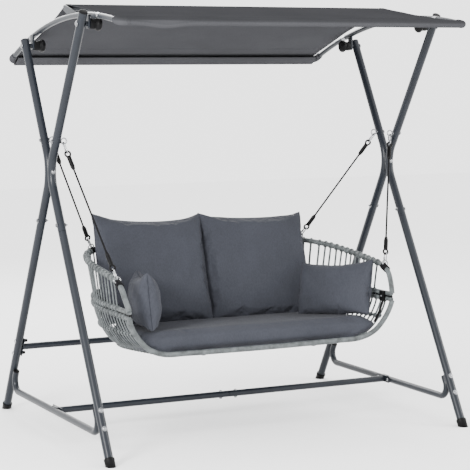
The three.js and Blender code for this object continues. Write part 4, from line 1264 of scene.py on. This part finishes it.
def make_lower_strands():
    strands = Shape()
    knots = Shape()
    rails = {}
    for k in range(STRAND_GAPS + 1):
        y = FIRST_STRAND + (LAST_STRAND - FIRST_STRAND) * k / STRAND_GAPS
        path = cross_strand(y, SEAM_LOWER)
        for offset in (-PAIR, PAIR):
            strands.sweep(path + Y * offset, STRAND, 8)
        for sx in (-1, 1):
            half = seam_half_width(y)
            low = pan_height(y)
            seam_at = row(sx * half, y, SEAM_LOWER)
            loop_round(strands, seam_at, Y, SEAM_TUBE + LOOP_OVER)
            for key, share in RAIL_SHARES.items():
                index = int(np.argmin(np.abs(ACROSS - share)))
                spot = row(sx * half * ACROSS[index], y, low + (SEAM_LOWER - low) * RISE[index])
                rails.setdefault((key, sx), []).append(spot)
                add_knot(knots, spot)
    for line in rails.values():
        strands.sweep(spline(line, 60), 0.0048, 12)
    for base, along in rear_stations():
        inward = facing(unit(np.cross(along, Z)), -Y)
        knee = base + inward * 0.003
        knee[2] = REAR_KNEE
        foot = rear_foot(base)
        for offset in (-PAIR, PAIR):
            strands.sweep(np.array([base, knee, foot]) + along * offset, STRAND, 8)
        loop_round(strands, base, along, SEAM_TUBE + LOOP_OVER)
        loop_round(strands, foot, X, 0.0105)
    strands.piece("basket_lower_strands", WICKER, "seat", "wicker", ["basket_seat_weave"], 60)
    knots.piece("basket_strand_knots", WICKER, "seat", "wicker", (), 60)


def rear_stations():
    """Evenly spaced places round the back of the seam, with the seam's direction at each."""
    seam = spline(seam_points(SEAM_LOWER), 600)
    places = [k for k in range(1, 600) if seam[k][1] > WAIST_Y + REAR_RAIL_Y]
    count = int(length_of(seam[places]) / STRAND_SPACING)
    picks = [places[int(round((len(places) - 1) * k / count))] for k in range(count + 1)]
    return [(seam[k], unit(seam[k + 1] - seam[k - 1])) for k in picks]


def rear_foot(base):
    """Where a back strand that starts at base meets the rear rail under the seat."""
    rail = cross_strand(REAR_RAIL_Y, SEAM_LOWER)
    target = base[0] * 0.93
    low = rail[np.abs(rail[:, 0]) <= abs(target) + 0.02]
    return low[np.argmin(np.abs(low[:, 0] - target))]


def add_knot(knots, spot):
    """The strand's knot: a short tight coil round the rail it crosses."""
    points = []
    for k in range(31):
        a = 2 * math.pi * k / 15
        points.append(spot + Y * (k / 15 - 1) * 0.0050 + 0.0078 * (X * math.cos(a) + Z * math.sin(a)))
    knots.sweep(points, 0.0027, 7, side=Y)


def make_basket_clips():
    """Black clips that pin the two halves of the basket together, and the straps to the seat."""
    clips = Shape()
    straps = Shape()
    screws = Shape()
    for sx in (-1, 1):
        for y in (-0.318, -0.02, 0.22):
            half = seam_half_width(y)
            ahead = seam_half_width(y + 0.01) - half
            along = unit([sx * ahead, 0.01, 0])
            inward = facing(unit(np.cross(along, Z)), -sx * X)
            spot = row(sx * half, y, (SEAM_UPPER + SEAM_LOWER) / 2)
            block = rounded_rect(0.030, 0.046, 0.006)
            ax = along if np.cross(along, Z) @ inward > 0 else -along
            clips.prism(block, spot + inward * 0.0085, ax, Z, 0.014, 0.0015)
            dome_head(screws, spot + inward * 0.0225, inward, 0.0042, 0.003)
        top = row(sx * 0.598, -0.322, 0.520)
        low = row(sx * 0.556, -0.320, 0.428)
        strap = rounded_rect(0.018, 0.0022, 0.0009, 2)
        straps.sweep([top, top * 0.5 + low * 0.5 + X * sx * 0.004, low], 1.0, profile=strap, side=Y)
    clips.piece("basket_clips", BLACK, "seat", "black_plastic")
    straps.piece("basket_straps", ROPE, "seat", "rope_fibre")
    screws.piece("basket_clip_screws", STEEL, "seat", "bright_steel")


# ------------------------------------------------------------------ cushions
def sewn(half_w, half_h, pull, u, v):
    """A place on a pillow's panel, whose edges are drawn in by the shares (sides, top, bottom)."""
    sides, top, bottom = pull
    return half_w * u * (1 - sides * (1 - v * v)), half_h * v * (1 - (top if v > 0 else bottom) * (1 - u * u))


def pillow_mesh(name, half_w, half_h, thick, pull, seed):
    """Two panels sewn round the edge: full in the middle, thin at the corners, edges drawn in."""
    n = 44
    mesh = bmesh.new()
    for face_sign in (1, -1):
        grid = []
        for i in range(n + 1):
            v = 2 * i / n - 1
            line = []
            for j in range(n + 1):
                u = 2 * j / n - 1
                x, z = sewn(half_w, half_h, pull, u, v)
                t = thick / 2 * max(0.0, (1 - u * u) * (1 - v * v)) ** 0.42
                t *= 1 + 0.06 * noise.noise(Vector((2.2 * u + seed, 2.2 * v, seed)))
                line.append(mesh.verts.new((x, -face_sign * t, z)))
            grid.append(line)
        for i in range(n):
            for j in range(n):
                quad = (grid[i][j], grid[i][j + 1], grid[i + 1][j + 1], grid[i + 1][j])
                mesh.faces.new(quad if face_sign > 0 else quad[::-1])
    bmesh.ops.remove_doubles(mesh, verts=mesh.verts[:], dist=1e-5)
    out = bpy.data.meshes.new(name)
    mesh.to_mesh(out)
    mesh.free()
    return out


def edge_loop(half_w, half_h, pull, count=220):
    """The sewn edge of the same pillow."""
    corners = [(-1, -1), (1, -1), (1, 1), (-1, 1), (-1, -1)]
    out = []
    for (u0, v0), (u1, v1) in zip(corners, corners[1:]):
        for k in range(count // 4):
            t = k / (count // 4)
            u, v = u0 + (u1 - u0) * t, v0 + (v1 - v0) * t
            x, z = sewn(half_w, half_h, pull, u, v)
            out.append((x, 0.0, z))
    return np.array(out)


def applied(obj):
    """Replaces the object's mesh by what its modifiers make of it."""
    graph = bpy.context.evaluated_depsgraph_get()
    mesh = bpy.data.meshes.new_from_object(obj.evaluated_get(graph))
    obj.modifiers.clear()
    old = obj.data
    obj.data = mesh
    bpy.data.meshes.remove(old)


def coordinates(mesh):
    out = np.empty(len(mesh.vertices) * 3)
    mesh.vertices.foreach_get("co", out)
    return out.reshape(-1, 3)


def stuffed(obj, voxel, cap, pressure=4.0):
    """Remeshes the cushion and blows it up as cloth, with no point moving further than cap."""
    remesh = obj.modifiers.new("remesh", "REMESH")
    remesh.mode = "VOXEL"
    remesh.voxel_size = voxel
    applied(obj)
    start = coordinates(obj.data)
    cloth = obj.modifiers.new("cloth", "CLOTH")
    settings = cloth.settings
    settings.quality = 5
    settings.mass = 0.25
    settings.tension_stiffness = 18
    settings.compression_stiffness = 12
    settings.shear_stiffness = 8
    settings.bending_stiffness = 0.4
    settings.shrink_min = -0.02
    settings.use_pressure = True
    settings.uniform_pressure_force = pressure
    settings.effector_weights.gravity = 0
    cloth.collision_settings.use_collision = False
    cloth.collision_settings.use_self_collision = False
    scene = bpy.context.scene
    for step in range(1, 21):
        scene.frame_set(step)
    graph = bpy.context.evaluated_depsgraph_get()
    blown = coordinates(obj.evaluated_get(graph).data).copy()
    obj.modifiers.clear()
    scene.frame_set(1)
    move = blown - start
    far = np.linalg.norm(move, axis=1)
    move *= np.minimum(1, cap / np.maximum(far, 1e-9))[:, None]
    obj.data.vertices.foreach_set("co", (start + move).ravel())
    obj.data.update()


def finished(obj):
    smooth_shaded(obj.data)
    smooth = obj.modifiers.new("smooth", "SUBSURF")
    smooth.levels = 1
    smooth.render_levels = 1


def seam_on(obj, loop, radius, name):
    """A sewn edge that follows the cushion's surface nearest to the loop."""
    points = coordinates(obj.data)
    faces = [tuple(p.vertices) for p in obj.data.polygons]
    tree = BVHTree.FromPolygons([Vector(p) for p in points], faces)
    line = np.array([tree.find_nearest(Vector(p))[0] for p in loop])
    for _ in range(6):
        line = (np.roll(line, 1, 0) + 2 * line + np.roll(line, -1, 0)) / 4
    Shape().sweep(line, radius, 8, closed=True).piece(name, SEAM, "seat", "cushion_cloth", (), 60)


def cushion(name, node, size, pull, place, turn, cap, voxel, seed, top_slump=0.0):
    """One loose pillow: sewn flat, filled, brought back to its size, slumped and stood in its place."""
    half_w, half_h, thick = size
    obj = bpy.data.objects.new(name, pillow_mesh(name, half_w, half_h, thick, pull, seed))
    bpy.context.scene.collection.objects.link(obj)
    stuffed(obj, voxel, cap)
    co = coordinates(obj.data)
    loop = edge_loop(half_w, half_h, pull)
    fit = np.array([half_w, thick / 2, half_h]) / np.abs(co).max(axis=0)
    co *= fit
    for points in (co, loop):
        slump(points, half_w, half_h, top_slump, seed)
    obj.data.vertices.foreach_set("co", co.ravel())
    matrix = Matrix.Translation(Vector(place)) @ turn
    obj.data.transform(matrix)
    loop = np.array([matrix @ Vector(p) for p in loop])
    obj.data.materials.append(CUSHION)
    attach(obj, "seat")
    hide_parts(node)
    seam_on(obj, loop, 0.0017, f"{name}_edge")
    finished(obj)
    return obj


def slump(points, half_w, half_h, amount, seed):
    """Weight settles: the upper edge sags between its corners and soft dents cross the panels."""
    u = np.clip(points[:, 0] / half_w, -1.1, 1.1)
    v = np.clip(points[:, 2] / half_h, -1.1, 1.1)
    points[:, 2] -= amount * np.clip(v, 0, 1) ** 2 * (1 - np.minimum(u ** 2, 1))
    for k, p in enumerate(points):
        dent = noise.noise(Vector((2.6 * u[k], 2.2 * v[k], seed + 3.3)))
        crease = noise.noise(Vector((7.0 * u[k], 2.0 * v[k], seed + 9.1)))
        p[1] += 0.0050 * dent * np.sign(p[1]) + 0.0016 * crease * np.sign(p[1])


def seat_pad():
    """The long seat cushion: the plain block with its edges rounded off, filled, and narrower behind."""
    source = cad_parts["seat_cushion"].data.copy()
    obj = bpy.data.objects.new("seat_pad", source)
    bpy.context.scene.collection.objects.link(obj)
    remesh = obj.modifiers.new("remesh", "REMESH")
    remesh.mode = "VOXEL"
    remesh.voxel_size = 0.009
    smooth = obj.modifiers.new("round", "SMOOTH")
    smooth.factor = 0.5
    smooth.iterations = 20
    applied(obj)
    stuffed(obj, 0.009, 0.020, 3.0)
    low, high = (np.array(corner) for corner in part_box("seat_cushion"))
    co = coordinates(obj.data)
    least, most = co.min(axis=0), co.max(axis=0)
    co = low + (co - least) * (high - low) / (most - least)
    front = low[1]
    for p in co:
        near = math.exp(-((p[1] - front) / 0.09) ** 2)
        fold = noise.noise(Vector((16 * p[0], 3 * p[1], 5 * p[2])))
        wave = noise.noise(Vector((5 * p[0], 2.5 * p[1], 7.7)))
        behind = min(max((p[1] - front - 0.30) / 0.35, 0.0), 1.0)
        p[0] *= 1 - 0.13 * behind
        p[1] += near * (0.0045 * fold + 0.0040 * wave)
        p[2] += (1 - near) * 0.0035 * wave
    obj.data.vertices.foreach_set("co", co.ravel())
    obj.data.update()
    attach(obj, "seat")
    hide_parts("seat_cushion")
    obj.data.materials.clear()
    obj.data.materials.append(CUSHION)
    finished(obj)


# Each loose pillow: node, half width, half height and thickness, share its sides, top and bottom are
# drawn in, turn, lean and roll in degrees, shift from the plain block's middle, sag of the top edge.
PILLOWS = [
    ("left_back", (0.262, 0.260, 0.150), (-0.04, 0.03, -0.04), (0, 22, 2.5), (-0.010, 0.012, -0.008), 0.026),
    ("right_back", (0.262, 0.254, 0.150), (-0.04, 0.01, -0.04), (0, 20, 1.5), (-0.004, 0.012, -0.016), 0.012),
    ("left_arm", (0.195, 0.121, 0.132), (0.02, 0.06, 0.02), (74, 4.6, 5), (-0.002, 0, 0), 0.020),
    ("right_arm", (0.193, 0.122, 0.118), (0.0, 0.03, -0.04), (-66, 15, -6), (0.006, 0, 0), 0.010),
]


def make_cushions():
    seat_pad()
    for index, (label, size, pull, angles, shift, sag) in enumerate(PILLOWS):
        low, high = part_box(f"{label}_cushion")
        place = (np.array(low) + np.array(high)) / 2 + np.array(shift)
        turn, lean, roll = (math.radians(a) for a in angles)
        pose = Matrix.Rotation(turn, 4, "Z") @ Matrix.Rotation(-lean, 4, "X") @ Matrix.Rotation(roll, 4, "Y")
        back = label.endswith("back")
        cushion(f"{label}_pillow", f"{label}_cushion", size, pull, place, pose, 0.024 if back else 0.018,
                0.007 if back else 0.005, 1.7 + 3.4 * index, sag)


# ------------------------------------------------------------------ assembly
make_camera()
make_stage()
POWDER = powder_coat()
BLACK = black_plastic()
STEEL = bright_steel()
WICKER = wicker_resin()
ROPE = rope_fibre()
# The canopy's last number is painted shade: its upward faces are darkened to 0.62 of their colour.
CANOPY = woven_cloth("canopy_cloth", (0.047, 0.0475, 0.0515), 520, 0.10, 0.0, 0.62)
CUSHION = woven_cloth("cushion_cloth", (0.0335, 0.0355, 0.0435), 420, 0.16, 0.03)
SEAM = woven_cloth("seam_cloth", (0.023, 0.0245, 0.031), 700, 0.14, 0.02)
THREAD = woven_cloth("canopy_thread", (0.021, 0.0215, 0.024), 700, 0.10, 0.01)

make_posts()
make_lower_bars()
make_canopy_frame()
make_canopy()
make_ropes()
make_basket_tubes()
make_upper_strands()
make_lower_strands()
make_basket_clips()
make_cushions()
